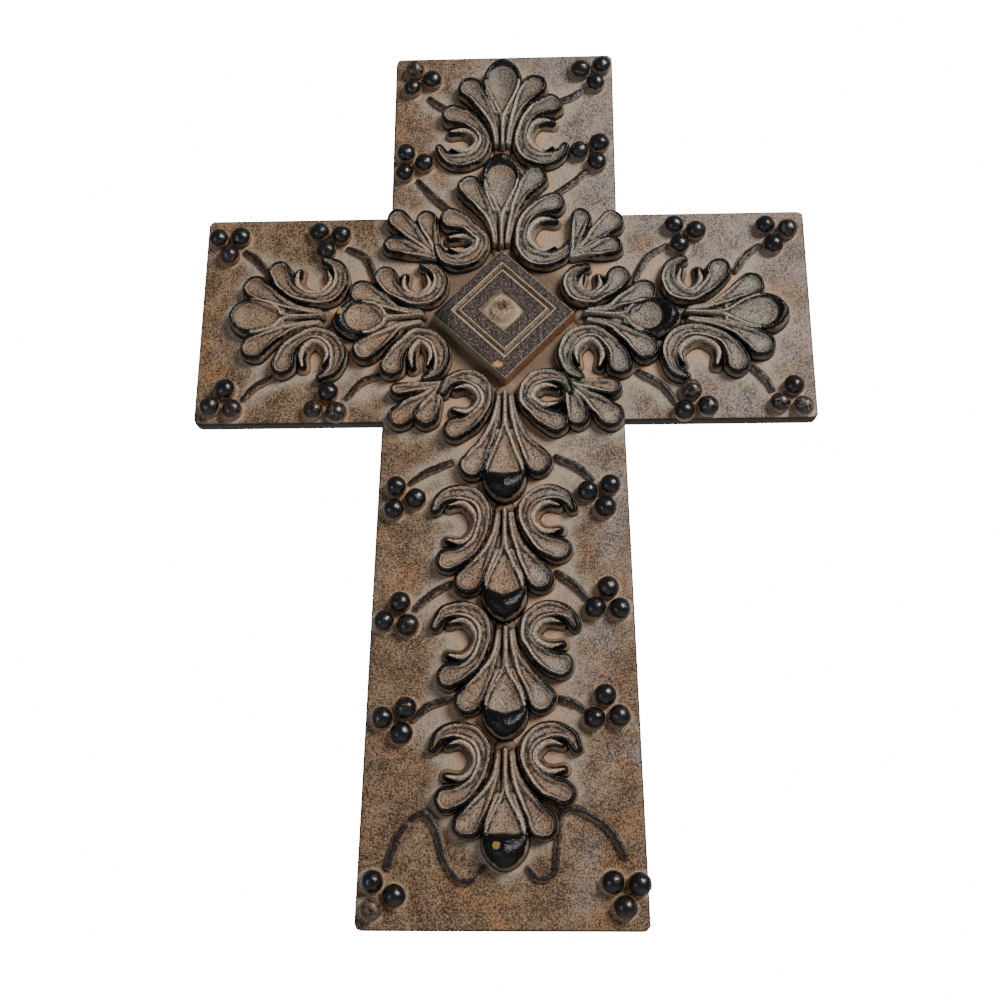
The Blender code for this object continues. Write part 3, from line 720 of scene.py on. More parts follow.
groove = np.clip(1 - np.abs(square - groove_middle) / half_groove, 0, 1)
height = np.where(inside < 0, DIAMOND_HEIGHT * (1 + inside / DIAMOND_DRAFT), DIAMOND_HEIGHT)
rounded = (1 - smooth(np.clip(inside, 0, 9) / DIAMOND_EDGE)) * (inside >= 0)
height = height - DIAMOND_EDGE * 0.5 * rounded
height = height - GROOVE_DEPTH * groove - RECESS_DEPTH * smooth((RECESS - square) / RECESS_WALL)
round_lump = np.hypot(x - DIAMOND_X, z - DIAMOND_INNER_Z) / LUMP_RADIUS
rough = (np.sin(x * 2.3 + 1.7 * np.sin(z * 1.9)) * np.sin(z * 2.6 + 0.6)
         + 0.6 * np.sin(x * 4.1 - z * 3.3))
height = height + (LUMP_HEIGHT + 0.5 * rough) * smooth((1.1 - round_lump) * 2.2)
pit = np.hypot((x - DIAMOND_X + 1.0) / 3.4, (z - DIAMOND_INNER_Z - 1.8) / 2.6)
height = height - 1.6 * smooth(1.2 - pit)
height = height + 0.10 * np.sin(x / 3.1 + np.sin(z / 2.3)) * np.sin(z / 2.7)
marks = {"inset": inside, "square": square, "lump": round_lump, "pit": pit}
mesh = cell_mesh("crossing_diamond", x, -SLAB - np.maximum(height, SINK), z,
                 np.ones(x.shape, bool), marks)
open_edges = close_behind(mesh, RELIEF_BACK, has_slot=True)
print("diamond:", open_edges, "open edges,", len(mesh.vertices), "points")
pieces["crossing_diamond"] = new_piece("crossing_diamond", mesh)
mesh.set_sharp_from_angle(angle=math.radians(28))

# %% [markdown]
# ## The slab
# The slab carries the painted ground. Its front is the lattice at a wider spacing, with a slight
# ripple, because a cast face is never quite flat. The lattice stops short of the edge, and rings of
# points follow the outline from there: four round over the edge, and one lies on the back. The back
# is filled round the slot.

# %% Slab
STRIDE, EDGE_RINGS = 4, 4
BERRY_FOOT = 4.7


def boundary_edges(mesh):
    """Directed edges that only one face uses."""
    loops = [tuple(face.vertices) for face in mesh.polygons]
    directed = {(a, b) for loop in loops for a, b in zip(loop, loop[1:] + loop[:1])}
    return [(a, b) for a, b in directed if (b, a) not in directed]


coarse_x, coarse_z = LATTICE_X[::STRIDE, ::STRIDE], LATTICE_Z[::STRIDE, ::STRIDE]
outline = slab_distance(coarse_x, coarse_z)
slope_z, slope_x = np.gradient(outline, CELL * STRIDE)
slope = np.maximum(np.hypot(slope_x, slope_z), 0.1)
front = outline < -EDGE_ROUNDING
_, meeting = whole_cells(front)
on_rim = (meeting > 0) & (meeting < 4)
move = np.where(on_rim, (outline + EDGE_ROUNDING) / slope ** 2, 0.0)
snapped_x, snapped_z = coarse_x - move * slope_x, coarse_z - move * slope_z
face_y = -SLAB - 0.35 * ripple[::STRIDE, ::STRIDE] * smooth(-outline / 6)
to_berries = [np.hypot(coarse_x - x / MM, coarse_z - z / MM) for x, _, z in berry_points]
marks = {"bloom": bloom[::STRIDE, ::STRIDE], "nook": nook[::STRIDE, ::STRIDE], "edge": -outline,
         "ring": np.min(to_berries, axis=0) - BERRY_FOOT,
         "normal_x": slope_x / slope, "normal_z": slope_z / slope}
mesh = cell_mesh("cross_slab", snapped_x, face_y, snapped_z, front, marks)
rim_edges = boundary_edges(mesh)
bm = bmesh.new()
bm.from_mesh(mesh)
bm.verts.ensure_lookup_table()
layer_x, layer_z, layer_edge = (bm.verts.layers.float[name]
                                for name in ("normal_x", "normal_z", "edge"))
rim = sorted({a for edge in rim_edges for a in edge})
rings = [{a: bm.verts[a] for a in rim}]
for k in range(1, EDGE_RINGS + 2):
    angle = math.radians(90 * min(k, EDGE_RINGS) / EDGE_RINGS)
    ring = {}
    for a in rim:
        base = rings[0][a]
        out = EDGE_ROUNDING * math.sin(angle) * MM
        y = base.co.y + EDGE_ROUNDING * (1 - math.cos(angle)) * MM if k <= EDGE_RINGS else 0.0
        spot = (base.co.x + base[layer_x] * out, y, base.co.z + base[layer_z] * out)
        made = bm.verts.new(spot, base)
        made[layer_edge] = EDGE_ROUNDING * (1 - math.sin(angle))
        ring[a] = made
    for a, b in rim_edges:
        bm.faces.new((rings[-1][b], rings[-1][a], ring[a], ring[b]))
    rings.append(ring)
bmesh.ops.remove_doubles(bm, verts=bm.verts, dist=0.00002)
fill_round_slot(bm, 0.0)
bmesh.ops.recalc_face_normals(bm, faces=bm.faces)
print("slab open edges:", sum(not edge.is_manifold for edge in bm.edges), "faces:", len(bm.faces))
bm.to_mesh(mesh)
bm.free()
pieces["cross_slab"] = new_piece("cross_slab", mesh)
mesh.set_sharp_from_angle(angle=math.radians(40))

# %% [markdown]
# ## Berries
# Sixty berries repeat one simple form, so Geometry Nodes place them. The tree takes the mesh of bare
# points, puts a ball on each, turns and scales it by seeded random values, dents it a little with
# noise, and ends in Realize Instances and Set Material. The points carry the wear to the balls.

# %% Berry tree and its result


def new_tree(name, inputs):
    """An empty Geometry Nodes tree with named inputs: the tree, its inputs and their identifiers."""
    tree = bpy.data.node_groups.new(name, "GeometryNodeTree")
    tree.interface.new_socket("Geometry", in_out="INPUT", socket_type="NodeSocketGeometry")
    tree.interface.new_socket("Geometry", in_out="OUTPUT", socket_type="NodeSocketGeometry")
    known = {}
    for label, kind in inputs.items():
        known[label] = tree.interface.new_socket(label, in_out="INPUT", socket_type=kind).identifier
    return tree, tree.nodes.new("NodeGroupInput").outputs, known


def roughened(tree, geometry, size, amount):
    """A surface pushed in and out along its normals by a noise of a size in mm."""
    bumps = add(tree, "TexNoise", {"Scale": 1 / (size * MM), "Detail": 2.0})
    push = add(tree, "Math", (bumps, 0.5), operation="SUBTRACT")
    push = add(tree, "Math", (push, amount), operation="MULTIPLY")
    offset = add(tree, "VectorMath", {0: add(tree, "GeometryNodeInputNormal"), "Scale": push},
                 operation="SCALE")
    return add(tree, "GeometryNodeSetPosition", {"Geometry": geometry, "Offset": offset})


def end_tree(tree, geometry, glaze):
    """End a tree with real geometry in its glaze."""
    real = add(tree, "GeometryNodeRealizeInstances", {"Geometry": geometry})
    glazed = add(tree, "GeometryNodeSetMaterial", {"Geometry": real, "Material": glaze})
    tree.links.new(glazed, tree.nodes.new("NodeGroupOutput").inputs["Geometry"])


def grown(name, source, tree, known, values):
    """Run a tree on a source object's data and return the result as a plain piece."""
    holder = bpy.data.objects.new(name + "_source", source)
    bpy.context.scene.collection.objects.link(holder)
    modifier = holder.modifiers.new("grow", "NODES")
    modifier.node_group = tree
    for label, value in values.items():
        modifier[known[label]] = value
    evaluated = holder.evaluated_get(bpy.context.evaluated_depsgraph_get())
    mesh = bpy.data.meshes.new_from_object(evaluated)
    holder.modifiers.remove(modifier)
    bpy.data.objects.remove(holder)
    mesh.name = name
    return new_piece(name, mesh)


# a thick gloss glaze on a round top: deep black with one small bright window in it
berry_glaze = bpy.data.materials.new("black_gloss_glaze_on_tan_resin")
tree, given, known = new_tree("berry_clusters", {
    "Radius": "NodeSocketFloat", "Spread": "NodeSocketFloat", "Dent": "NodeSocketFloat",
    "Seed": "NodeSocketInt", "Glaze": "NodeSocketMaterial"})
ball = add(tree, "GeometryNodeMeshUVSphere", {"Segments": 28, "Rings": 18, "Radius": 1.0})
low, high = (add(tree, "Math", (given["Radius"], given["Spread"]), operation=step)
             for step in ("SUBTRACT", "ADD"))
size = add(tree, "FunctionNodeRandomValue", {2: low, 3: high, "Seed": given["Seed"]}, out=1)
spin = add(tree, "FunctionNodeRandomValue", {0: (0.0,) * 3, 1: (6.28,) * 3, "Seed": given["Seed"]},
           data_type="FLOAT_VECTOR")
placed_balls = add(tree, "GeometryNodeInstanceOnPoints", {
    "Points": given["Geometry"], "Instance": ball, "Rotation": spin, "Scale": size})
real = add(tree, "GeometryNodeRealizeInstances", {"Geometry": placed_balls})
end_tree(tree, roughened(tree, real, 4, given["Dent"]), given["Glaze"])
pieces["berries"] = grown("berries", point_mesh, tree, known, {
    "Radius": BERRY_RADIUS * MM, "Spread": 0.2 * MM, "Dent": 0.9 * MM, "Seed": 7,
    "Glaze": berry_glaze})
print("berry faces:", len(pieces["berries"].data.polygons))

# %% [markdown]
# ## Stems and tendrils
# Each cluster hangs on a short bowed stem that comes out from under a leaf, and two tendrils curl up
# from the foot's berries. All are round ridges that follow a path, so they are curves, and one tree
# sweeps a ring along them, with the curve's own radius as the ring's size, and roughens the result.

# %% Stem paths and tree
# a thin run of the same glaze along a ridge: a black crest between matt tan flanks
stem_paint = bpy.data.materials.new("tan_ridge_with_black_glaze_on_top")
TENDRILS = (
    ((-52, -274), (-46.5, -259), (-39, -250), (-33, -251), (-29, -258),
     (-26, -268), (-20, -277.5), (-13, -278), (-8, -272)),
    ((57, -269.5), (49.5, -256.5), (39.5, -249), (31.5, -247), (26.5, -251),
     (25.5, -262), (24, -274), (17.5, -277.5), (11, -272)),
    )
STEM_RADIUS, STEM_CENTRE, UNDER_LEAF = 2.05, 0.6, 2.5
FAR_TIP, NEAR_TIP = 0.35, 0.6


def stem_path(far, near, bow):
    """A bowed stem that runs on under its leaf and up to its berries, and tapers to both."""
    dx, dz = near[0] - far[0], near[1] - far[1]
    length = math.hypot(dx, dz)
    middle = ((far[0] + near[0]) / 2 - dz / length * bow,
              (far[1] + near[1]) / 2 + dx / length * bow)
    under = (far[0] - dx / length * UNDER_LEAF, far[1] - dz / length * UNDER_LEAF)
    return [(*under, 0.7), (*far, 0.95), (*middle, 1.05), (*near, 0.8)]


paths = [stem_path(far, near, bow) for _, _, _, far, near, bow, _ in CLUSTERS if far]
paths += [[(x, z, 1.15 - 0.25 * k / len(points)) for k, (x, z) in enumerate(points)]
          for points in TENDRILS]
stems = bpy.data.curves.new("stem_paths", "CURVE")
stems.dimensions = "3D"
for path in paths:
    rows = curve_through(path, 8)
    spline = stems.splines.new("POLY")
    spline.points.add(len(rows) - 1)
    for point, (x, z, share) in zip(spline.points, rows):
        point.co = (x * MM, (-SLAB - STEM_CENTRE) * MM, z * MM, 1.0)
        point.radius = share * STEM_RADIUS * MM
    spline.points[0].radius = FAR_TIP * STEM_RADIUS * MM
    spline.points[-1].radius = NEAR_TIP * STEM_RADIUS * MM
tree, given, known = new_tree("swept_stems", {
    "Spacing": "NodeSocketFloat", "Roughness": "NodeSocketFloat", "Glaze": "NodeSocketMaterial"})
even = add(tree, "GeometryNodeResampleCurve",
           {"Curve": given["Geometry"], "Length": given["Spacing"]}, mode="LENGTH")
ring = add(tree, "GeometryNodeCurvePrimitiveCircle", {"Resolution": 14, "Radius": 1.0})
radius = add(tree, "GeometryNodeInputRadius")
swept = add(tree, "GeometryNodeCurveToMesh", {"Curve": even, "Profile Curve": ring, "Scale": radius,
                                              "Fill Caps": True})
end_tree(tree, roughened(tree, swept, 2.5, given["Roughness"]), given["Glaze"])
pieces["stems_and_tendrils"] = grown("stems_and_tendrils", stems, tree, known, {
    "Spacing": 0.6 * MM, "Roughness": 1.2 * MM, "Glaze": stem_paint})
grown_mesh = pieces["stems_and_tendrils"].data
print("stem faces:", len(grown_mesh.polygons), "highest:",
      round(-min(vert.co.y for vert in grown_mesh.vertices) / MM - SLAB, 2), "mm over the slab")

# %% [markdown]
# ## Speckled tan: the ground coat
# The real surface is cast polyester resin, painted cold. The ground coat is a matt earthy tan that
# was sponged and spattered: it drifts from a brown ochre at the left through tan to a greyer rose at
# the right, clouds over about a centimetre, and is flecked with dark specks. All paints here start
# from this coat, so one function builds it. Three more work as a painter does: they lay coats in
# order, draw a soft line where a mark passes two values, and wear holes in it.

# %% Speckled tan
# the finest real specks are about 0.3 mm, less than a pixel, so they are drawn coarser to show
DRIFT_SIZE, PATCH_SIZE, CLOUD_SIZE, SPECK_SIZE = 30, 17, 11, 0.72


def coats(tree, colour, layers):
    """Lay coats over a colour, in order; each is a mask and an sRGB colour or another coat."""
    for mask, over in layers:
        over = linear(over) if isinstance(over, str) else over
        colour = add(tree, "Mix", {0: mask, 6: colour, 7: over}, out=2, data_type="RGBA")
    return colour


def stroke(tree, where, start, end, share=1.0, soft=0.3):
    """A brushed line where a mark lies from start to end, with soft sides."""
    rise = add(tree, "MapRange", (where, start, start + soft))
    fall = add(tree, "MapRange", (where, end, end - soft, 0.0, share))
    return add(tree, "Math", (rise, fall), operation="MULTIPLY")


def worn(tree, mask, noise, gone, whole, least=0.0):
    """A mask that wears off, down to a least share, as a noise goes from whole to gone."""
    kept = add(tree, "MapRange", (noise, gone, whole, least, 1.0))
    return add(tree, "Math", (mask, kept), operation="MULTIPLY")


def speckled_tan(tree, here, left, middle, right, dark_left, dark_right, cover=0.85, washes=()):
    """The ground coat's colour and its grain. Washes are masks and colours that lie under the
    flecks, and hold some of them off."""
    drift, patch, cloud, grain = (
        add(tree, "TexNoise", {"Vector": here, "Scale": 1 / (size * MM), "Detail": detail,
                               "Roughness": rough})
        for size, detail, rough in ((DRIFT_SIZE, 3.0, 0.6), (PATCH_SIZE, 3.0, 0.5),
                                    (CLOUD_SIZE, 4.0, 0.65), (SPECK_SIZE, 2.0, 0.6)))
    sideways, height = (add(tree, "SeparateXYZ", (here,), out=axis) for axis in (0, 2))
    upwards = add(tree, "Math", (height, 0.9, drift), operation="MULTIPLY_ADD")
    sideways = add(tree, "MapRange", (sideways, -0.055, 0.055, -0.26, 0.26))
    sideways = worn(tree, sideways, upwards, 0.22, 0.45)
    tone = add(tree, "Math", (sideways, upwards), operation="ADD")
    patchy = add(tree, "Math", (cloud, 0.35, grain), operation="MULTIPLY_ADD")
    warm, cool = (add(tree, "MapRange", (tone, *ends)) for ends in ((0.30, 0.52), (0.50, 0.76)))
    spots = ((patchy, 0.66, 0.50, 0.45), (patchy, 0.67, 0.78, cover),
             (patch, 0.52, 0.66, 0.42), (patch, 0.47, 0.36, 0.55))
    pale, fleck, ochre, slate = (add(tree, "MapRange", (mark, start, end, 0.0, most))
                                 for mark, start, end, most in spots)
    ochre = worn(tree, ochre, cool, 1.0, 0.0, 0.3)
    slate = worn(tree, slate, cool, 0.0, 1.0)
    coat = coats(tree, linear(left), [(warm, middle), (cool, right), (pale, "#B49C82"),
                                      (ochre, "#9A6C44"), (slate, "#787574"), *washes])
    for mask, _ in washes:
        fleck = worn(tree, fleck, mask, 1.0, 0.0, 0.35)
    dark = coats(tree, linear(dark_left), [(warm, dark_right)])
    return coats(tree, coat, [(fleck, dark)]), grain


pixel = -place[1, 3] / MM * SENSOR / LENS / 1000
print("a speck covers about", round(SPECK_SIZE / pixel, 1), "pixels of a picture 1000 pixels wide")

# %% [markdown]
# ## Gloss, bump and chips
# Every paint ends in the same way: a roughness, and a fine bump from the grain and from lumps of
# 3 mm, which a hand-made mould leaves. In a few places the paint is chipped down to ochre resin.

# %% Finish and chips
LUMP_SIZE = 3


def new_material(name, *marks):
    """A material, new or begun before, with its tree, its shader, the place on the object, and the
    marks that are stored on the points."""
    material = bpy.data.materials.new(name) if isinstance(name, str) else name
    material.use_nodes = True
    tree = material.node_tree
    read = [add(tree, "Attribute", out="Fac", attribute_name=mark) for mark in marks]
    return material, tree, tree.nodes["Principled BSDF"], add(tree, "TexCoord", out="Object"), *read


def finish_paint(tree, shader, colour, mask, matt, gloss, grain, bump):
    """Link the colour, a roughness that goes from matt to gloss as a mask grows, and the bump to the
    shader. A painted face reflects little."""
    shader.inputs["Specular IOR Level"].default_value = 0.3
    roughness = add(tree, "MapRange", (mask, 0.0, 1.0, matt, gloss))
    tree.links.new(colour, shader.inputs["Base Color"])
    tree.links.new(roughness, shader.inputs["Roughness"])
    lumps = add(tree, "TexNoise", {"Vector": add(tree, "TexCoord", out="Object"),
                                   "Scale": 1 / (LUMP_SIZE * MM), "Detail": 3.0})
    uneven = add(tree, "Math", (lumps, 2.5, grain), operation="MULTIPLY_ADD")
    relief_normal = add(tree, "Bump", {"Height": uneven, "Strength": 1.0, "Distance": bump * MM})
    tree.links.new(relief_normal, shader.inputs["Normal"])
    print("nodes in this paint:", len(tree.nodes))


def chip(tree, here, x, z, half_x, half_z, grain):
    """A ragged oval spot, 1 inside, where the paint is chipped off."""
    local = add(tree, "VectorMath", (here, (x * MM, 0.0, z * MM)), operation="SUBTRACT")
    oval = add(tree, "VectorMath", (local, (1 / (half_x * MM), 0.0, 1 / (half_z * MM))),
               operation="MULTIPLY")
    away = add(tree, "VectorMath", (oval,), out="Value", operation="LENGTH")
    ragged = add(tree, "Math", (grain, 1.4, away), operation="MULTIPLY_ADD")
    return add(tree, "MapRange", (ragged, 1.75, 1.5))


print("every paint gets lumps of", LUMP_SIZE, "mm")

# %% [markdown]
# ## Paint of the ground
# Round the carving the ground is paler and greyer, where the dark wash was wiped off, and in the
# closed nooks between leaves it is a warm salmon, where the wash never reached the resin. Round the
# diamond it is darkened brown, as painted shade. A pale ring lies round each berry, and the slab's
# edges are rubbed dark. Its walls and back are painted near black: dark paint on the back, and
# painted shade on the side walls. Distances and the blurred footprint, stored on the points, say
# where each of these lies.

# %% Ground material
# cold-painted cast polyester: matt and earthy, with a broad soft sheen and no clear reflection
ground, tree, shader, here, bloom_mark, nook_mark, edge_mark, ring_mark = new_material(
    "matt_cold_painted_resin_ground", "bloom", "nook", "edge", "ring")
soft = add(tree, "TexNoise", {"Vector": here, "Scale": 1 / (5 * MM), "Detail": 3.0})
wiped = add(tree, "Math", (soft, 0.35, bloom_mark), operation="MULTIPLY_ADD")
halo = add(tree, "MapRange", (wiped, 0.20, 0.55, 0.0, 0.85))
ring = add(tree, "MapRange", (ring_mark, 2.4, 0.8, 0.0, 0.7))
warm = add(tree, "MapRange", (nook_mark, 0.5, 0.72, 0.0, 0.7))
coat, grain = speckled_tan(tree, here, "#6A5036", "#765F4B", "#85756A", "#19110B", "#2C221C", 0.88,
                           [(halo, "#A4937F"), (ring, "#B89C80"), (warm, "#B58B6B")])
from_middle = add(tree, "VectorMath", (here, (1.0, 0.0, 1.0)), operation="MULTIPLY")
from_middle = add(tree, "VectorMath", (from_middle,), out="Value", operation="LENGTH")
# painted shade: the ground darkens to brown close round the diamond
shade_by_diamond = add(tree, "MapRange", (from_middle, 0.046, 0.034, 0.0, 0.8))
rubbed = add(tree, "Math", (grain, 3.0, edge_mark), operation="MULTIPLY_ADD")
rubbed = add(tree, "MapRange", (rubbed, 2.9, 1.6, 0.0, 0.85))
# near black: dark paint on the back, and painted shade on the side walls and the outer part of the
# rounded edge
walls = add(tree, "MapRange", (edge_mark, 0.7, 0.3, 0.0, 0.85))
coat = coats(tree, coat, [(shade_by_diamond, "#564130"), (rubbed, "#2A211A"), (walls, "#1C1612")])
slick = add(tree, "MapRange", (grain, 0.3, 0.7))
finish_paint(tree, shader, coat, slick, 0.72, 0.55, grain, 0.2)

# %% [markdown]
# ## Paint of the leaves
# From its outline inwards, a leaf is painted in lines: a black gloss glaze on the outer half
# millimetre, a pale line on the rim's crest, which is rubbed paint and a painted highlight together,
# and a dark line in the groove behind it. The stored depth inside the leaf places them, and a noise
# moves it, so that they waver and break as brushed lines do. The glaze is full and wide at the ends
# and thin in the middle. The dish is darkened just inside the rim, as painted shade. The walls are a
# plain olive tan that turns orange-brown where they meet the ground, which is painted shade.

# %% Leaf lines
# the same resin under brushed gloss glaze: matt tan dishes between wet-looking black lines
leaves, tree, shader, here, rim, run, hollow, nose = new_material(
    "tan_resin_with_black_gloss_rims", "rim", "run", "valley", "nose")
coat, grain = speckled_tan(tree, here, "#8E745D", "#918272", "#827C6E", "#2E2018", "#2E2924")
wobble = add(tree, "TexNoise", {"Vector": here, "Scale": 1 / (3.2 * MM), "Detail": 4.0,
                                "Roughness": 0.68})
waver = add(tree, "Math", (wobble, 0.5), operation="SUBTRACT")
depth = add(tree, "Math", (waver, 1.5, rim), operation="MULTIPLY_ADD")
brushed = add(tree, "Math", (wobble, 2.2, run), operation="MULTIPLY_ADD")
strength = add(tree, "MapRange", (brushed, 1.25, 1.75, 0.3, 1.0))
broad = add(tree, "TexNoise", {"Vector": here, "Scale": 1 / (12 * MM), "Detail": 2.0})
at_end = worn(tree, broad, run, 0.65, 1.0)
at_end = add(tree, "Math", (at_end, -2.0, depth), operation="MULTIPLY_ADD")
outer_line = worn(tree, stroke(tree, at_end, -3.2, 0.5), depth, -1.1, -0.5)
groove_line = worn(tree, stroke(tree, depth, 1.5, 3.0, 0.95, 0.4), wobble, 0.62, 0.47, 0.12)
groove_line = worn(tree, groove_line, run, 1.0, 0.8, 0.5)
# a pale line on the rim's crest: rubbed paint and a painted highlight together
crest = worn(tree, stroke(tree, depth, 0.6, 1.7, 0.6), grain, 0.60, 0.44, 0.2)
print("leaf nodes so far:", len(tree.nodes))

# %% Leaf material
height_y = add(tree, "SeparateXYZ", (here,), out=1)
wall = add(tree, "MapRange", (depth, 0.1, -0.5, 0.0, 0.5))
black_wall = add(tree, "MapRange", (broad, 0.50, 0.62, 0.0, 0.7))
black_wall = worn(tree, worn(tree, black_wall, depth, 0.3, -0.2), wobble, 0.4, 0.52, 0.3)
upper_left = add(tree, "VectorMath", (here, (-0.6, 0.0, 1.0)), out="Value", operation="DOT_PRODUCT")
shaded = worn(tree, add(tree, "MapRange", (upper_left, 0.05, 0.1, 0.0, 0.4)), depth, 1.8, 3.0)
# painted shade: an orange-brown darkening where the leaf walls meet the ground
low = add(tree, "MapRange", (height_y, -(SLAB + 2.6) * MM, -(SLAB + 0.8) * MM, 0.0, 0.7))
low = worn(tree, low, rim, 0.6, 0.0)
# painted shade: the dish darkened just inside the rim
dish = worn(tree, add(tree, "MapRange", (depth, 5.0, 2.3, 0.0, 0.35)), depth, 1.8, 2.2)
glazed = add(tree, "Math", (outer_line, strength), operation="MULTIPLY")
valley = add(tree, "MapRange", (hollow, 0.22, 0.7, 0.0, 0.95))
nose_edge = add(tree, "Math", (waver, 2.8, nose), operation="MULTIPLY_ADD")
thin_glaze = add(tree, "MapRange", (nose_edge, -0.9, 0.2, 0.0, 0.6))
on_nose = add(tree, "MapRange", (nose_edge, -0.15, 0.2))
black = add(tree, "Math", (glazed, valley), operation="MAXIMUM")
black = add(tree, "Math", (black, on_nose), operation="MAXIMUM")
coat = coats(tree, coat, [(wall, "#8C7D68"), (black_wall, "#14100E"), (low, "#6E4A32"),
                          (shaded, "#4E3D2C"), (dish, "#4A382B"), (crest, "#C2B09A"),
                          (groove_line, "#140F0D"), (thin_glaze, "#665D4B"), (black, "#0A0808")])
for x, z, half_x, half_z in ((-2.2, -263.5, 1.9, 1.7), (-83.2, 0.2, 1.5, 2.2)):
    coat = coats(tree, coat, [(chip(tree, here, x, z, half_x, half_z, grain), "#9A7A46")])
scored = add(tree, "Math", (groove_line, -0.9, grain), operation="MULTIPLY_ADD")
finish_paint(tree, shader, coat, black, 0.62, 0.27, scored, 0.24)

# %% [markdown]
# ## Paint of the berries
# The same black gloss glaze, laid on the tops only: near the ground the tan coat shows. The height
# over the slab is read from the object's own Y. Each berry's wear thins its glaze, in blotches.

# %% Berry material
_, tree, shader, here, wear_mark = new_material(berry_glaze, "wear")
coat, grain = speckled_tan(tree, here, "#8E6848", "#907259", "#8C7768", "#2A1E14", "#43372F")
wobble = add(tree, "TexNoise", {"Vector": here, "Scale": 1 / (2.0 * MM), "Detail": 4.0,
                                "Roughness": 0.7})
height_y = add(tree, "SeparateXYZ", (here,), out=1)
low_line = add(tree, "Math", (wobble, -3.0 * MM, height_y), operation="MULTIPLY_ADD")
painted = add(tree, "MapRange", (low_line, -(SLAB + 5.2) * MM, -(SLAB + 6.1) * MM))
wear = add(tree, "Math", (wear_mark, 0.36, wobble), operation="MULTIPLY_ADD")
black = worn(tree, painted, wear, 0.86, 0.76, 0.3)
scuff = add(tree, "MapRange", (wear, 0.62, 0.85, 0.0, 0.4))
coat = coats(tree, coat, [(black, "#0D0B0B"), (scuff, "#46382F")])
finish_paint(tree, shader, coat, black, 0.6, 0.27, grain, 0.1)
shader.inputs["Specular IOR Level"].default_value = 0.5

# %% [markdown]
# ## Paint of the stems
# The stems are glazed black along the top, with a wavering border, and their flanks keep the tan
# coat. The top is where the surface faces outwards, which is the object's own -Y.

# %% Stem material
_, tree, shader, here = new_material(stem_paint)
coat, grain = speckled_tan(tree, here, "#7A5F46", "#7E6A58", "#857468", "#1E150E", "#352B25")
height_y = add(tree, "SeparateXYZ", (here,), out=1)
facing = add(tree, "SeparateXYZ", (add(tree, "TexCoord", out="Normal"),), out=1)
wobble = add(tree, "TexNoise", {"Vector": here, "Scale": 1 / (5 * MM), "Detail": 4.0,
                                "Roughness": 0.7})
topside = add(tree, "Math", (wobble, 1.1, facing), operation="MULTIPLY_ADD")
black = add(tree, "MapRange", (topside, -0.08, -0.33, 0.0, 0.95))
base = add(tree, "MapRange", (height_y, -(SLAB + 1.5) * MM, -(SLAB + 0.7) * MM, 0.0, 0.8))
coat = coats(tree, coat, [(black, "#14100F"), (base, "#7D5C42")])
finish_paint(tree, shader, coat, black, 0.6, 0.34, grain, 0.25)

# %% [markdown]
# ## Paint of the diamond
# The plate's flat bands are a bronze-brown, nearly black, thickly flecked with rubbed beige. The
# groove keeps the tan coat between two rubbed light lines, each with a dark line next to it, and its
# bottom is darkened as painted shade. The recess's wall is a darker grey olive, as painted shade. The
# lump in the recess has a light ring, a painted highlight, and a dark ring round its foot and a dark
# pit, both painted shade. The plate's outer walls are a grey olive at the left and a burnt orange at
# the right, and one chip near the lowest corner shows ochre.

# %% Diamond material
# a bronze-brown paint, wiped while wet: half-gloss bands full of beige flecks
diamond, tree, shader, here, square, inset, lump, pit = new_material(
    "bronze_brown_painted_resin", "square", "inset", "lump", "pit")
coat, grain = speckled_tan(tree, here, "#87725F", "#87725F", "#87725F", "#33261B", "#33261B")
across = add(tree, "SeparateXYZ", (here,))
inner_band = stroke(tree, square, RECESS - 0.1, GROOVE_IN + 0.1)
outer_band = stroke(tree, square, GROOVE_OUT - 0.1, DIAMOND_SIDE + 3.0)
outer_band = worn(tree, outer_band, inset, -0.1, 0.2)
band = add(tree, "Math", (inner_band, outer_band), operation="MAXIMUM")
flecks = add(tree, "TexNoise", {"Vector": here, "Scale": 1 / (1.0 * MM), "Detail": 3.0,
                                "Roughness": 0.75})
speckled = worn(tree, band, flecks, 0.62, 0.50, 0.25)
side = add(tree, "MapRange", (across, -0.008, 0.008))
wall_paint = coats(tree, linear("#7C7358"), [(side, "#7A4B2B")])
corner = worn(tree, outer_band, across, -0.024, -0.030)
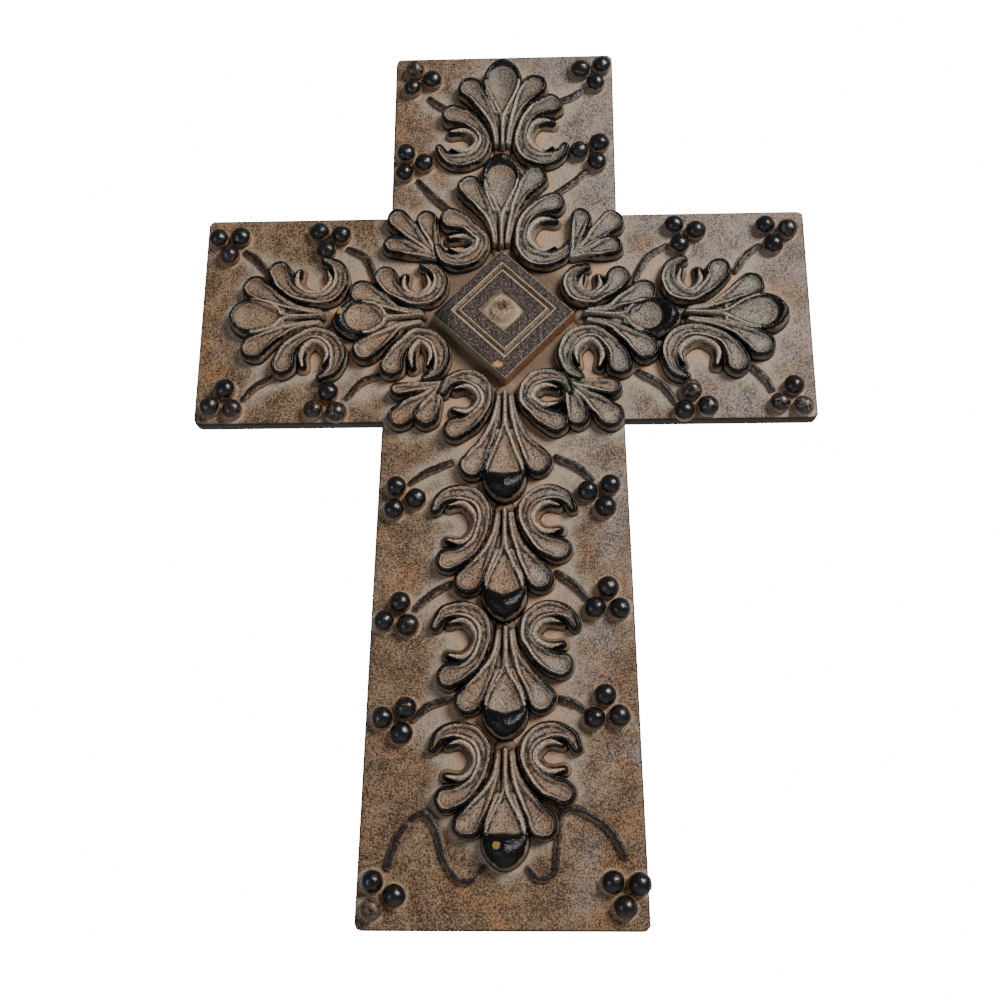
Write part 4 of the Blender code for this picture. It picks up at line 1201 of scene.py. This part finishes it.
layers = [
    (add(tree, "MapRange", (inset, 0.0, -0.25, 0.0, 0.75)), wall_paint),
    (add(tree, "MapRange", (square, RECESS, RECESS - 1.2, 0.0, 0.4)), "#A58C70"),
    # painted shade: a darker grey-olive band on the recess's wall
    (stroke(tree, square, RECESS - RECESS_WALL - 0.5, RECESS + 0.1, 0.7), "#6C6751"),
    # painted shade: a dark pit in the lump
    (add(tree, "MapRange", (pit, 1.4, 0.5, 0.0, 0.8)), "#3A2A1F"),
    # painted highlight: a light ring on the lump
    (stroke(tree, lump, 0.8, 1.25, 0.4, 0.2), "#BEA586"),
    # painted shade: a dark ring round the lump's foot
    (stroke(tree, lump, 1.2, 1.42, 0.25, 0.1), "#3B2C20"),
    (speckled, "#251B1A"),
    # painted shade: the groove's bottom darkened
    (stroke(tree, square, groove_middle - 0.45, groove_middle + 0.45, 0.55), "#4A3D2C")]
for at, share, paint in ((GROOVE_OUT + 0.75, 0.85, "#0E0A09"), (GROOVE_OUT + 0.2, 0.75, "#C4AB88"),
                         (GROOVE_IN - 0.2, 0.75, "#C4AB88"), (GROOVE_IN - 0.8, 0.9, "#0E0A09")):
    line = stroke(tree, square, at - 0.4, at + 0.4, share, 0.25)
    layers.append((worn(tree, line, grain, 0.68, 0.48, 0.3), paint))
edge_line = worn(tree, stroke(tree, inset, -0.2, 0.5, 0.7, 0.25), grain, 0.62, 0.4, 0.2)
layers += [(edge_line, "#A8947E"), (stroke(tree, inset, 0.4, 1.2, 0.8, 0.25), "#0C0908"),
           (corner, "#0B0909"), (chip(tree, here, -2.3, -30.4, 2.7, 1.7, grain), "#AD8149")]
coat = coats(tree, coat, layers)
finish_paint(tree, shader, coat, band, 0.62, 0.45, grain, 0.3)

# %% [markdown]
# ## Dress the pieces
# Each carved piece gets its paint, every piece rides on the one body, and the CAD part is hidden.

# %% Dress and finish
for name, piece in pieces.items():
    if name not in ("berries", "stems_and_tendrils"):
        piece.data.materials.clear()
        paint = {"cross_slab": ground, "crossing_diamond": diamond}.get(name, leaves)
        piece.data.materials.append(paint)
    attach(piece, "root")
    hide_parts("wall_cross")
print("triangles:", sum(len(face.vertices) - 2 for piece in pieces.values()
                        for face in piece.data.polygons))
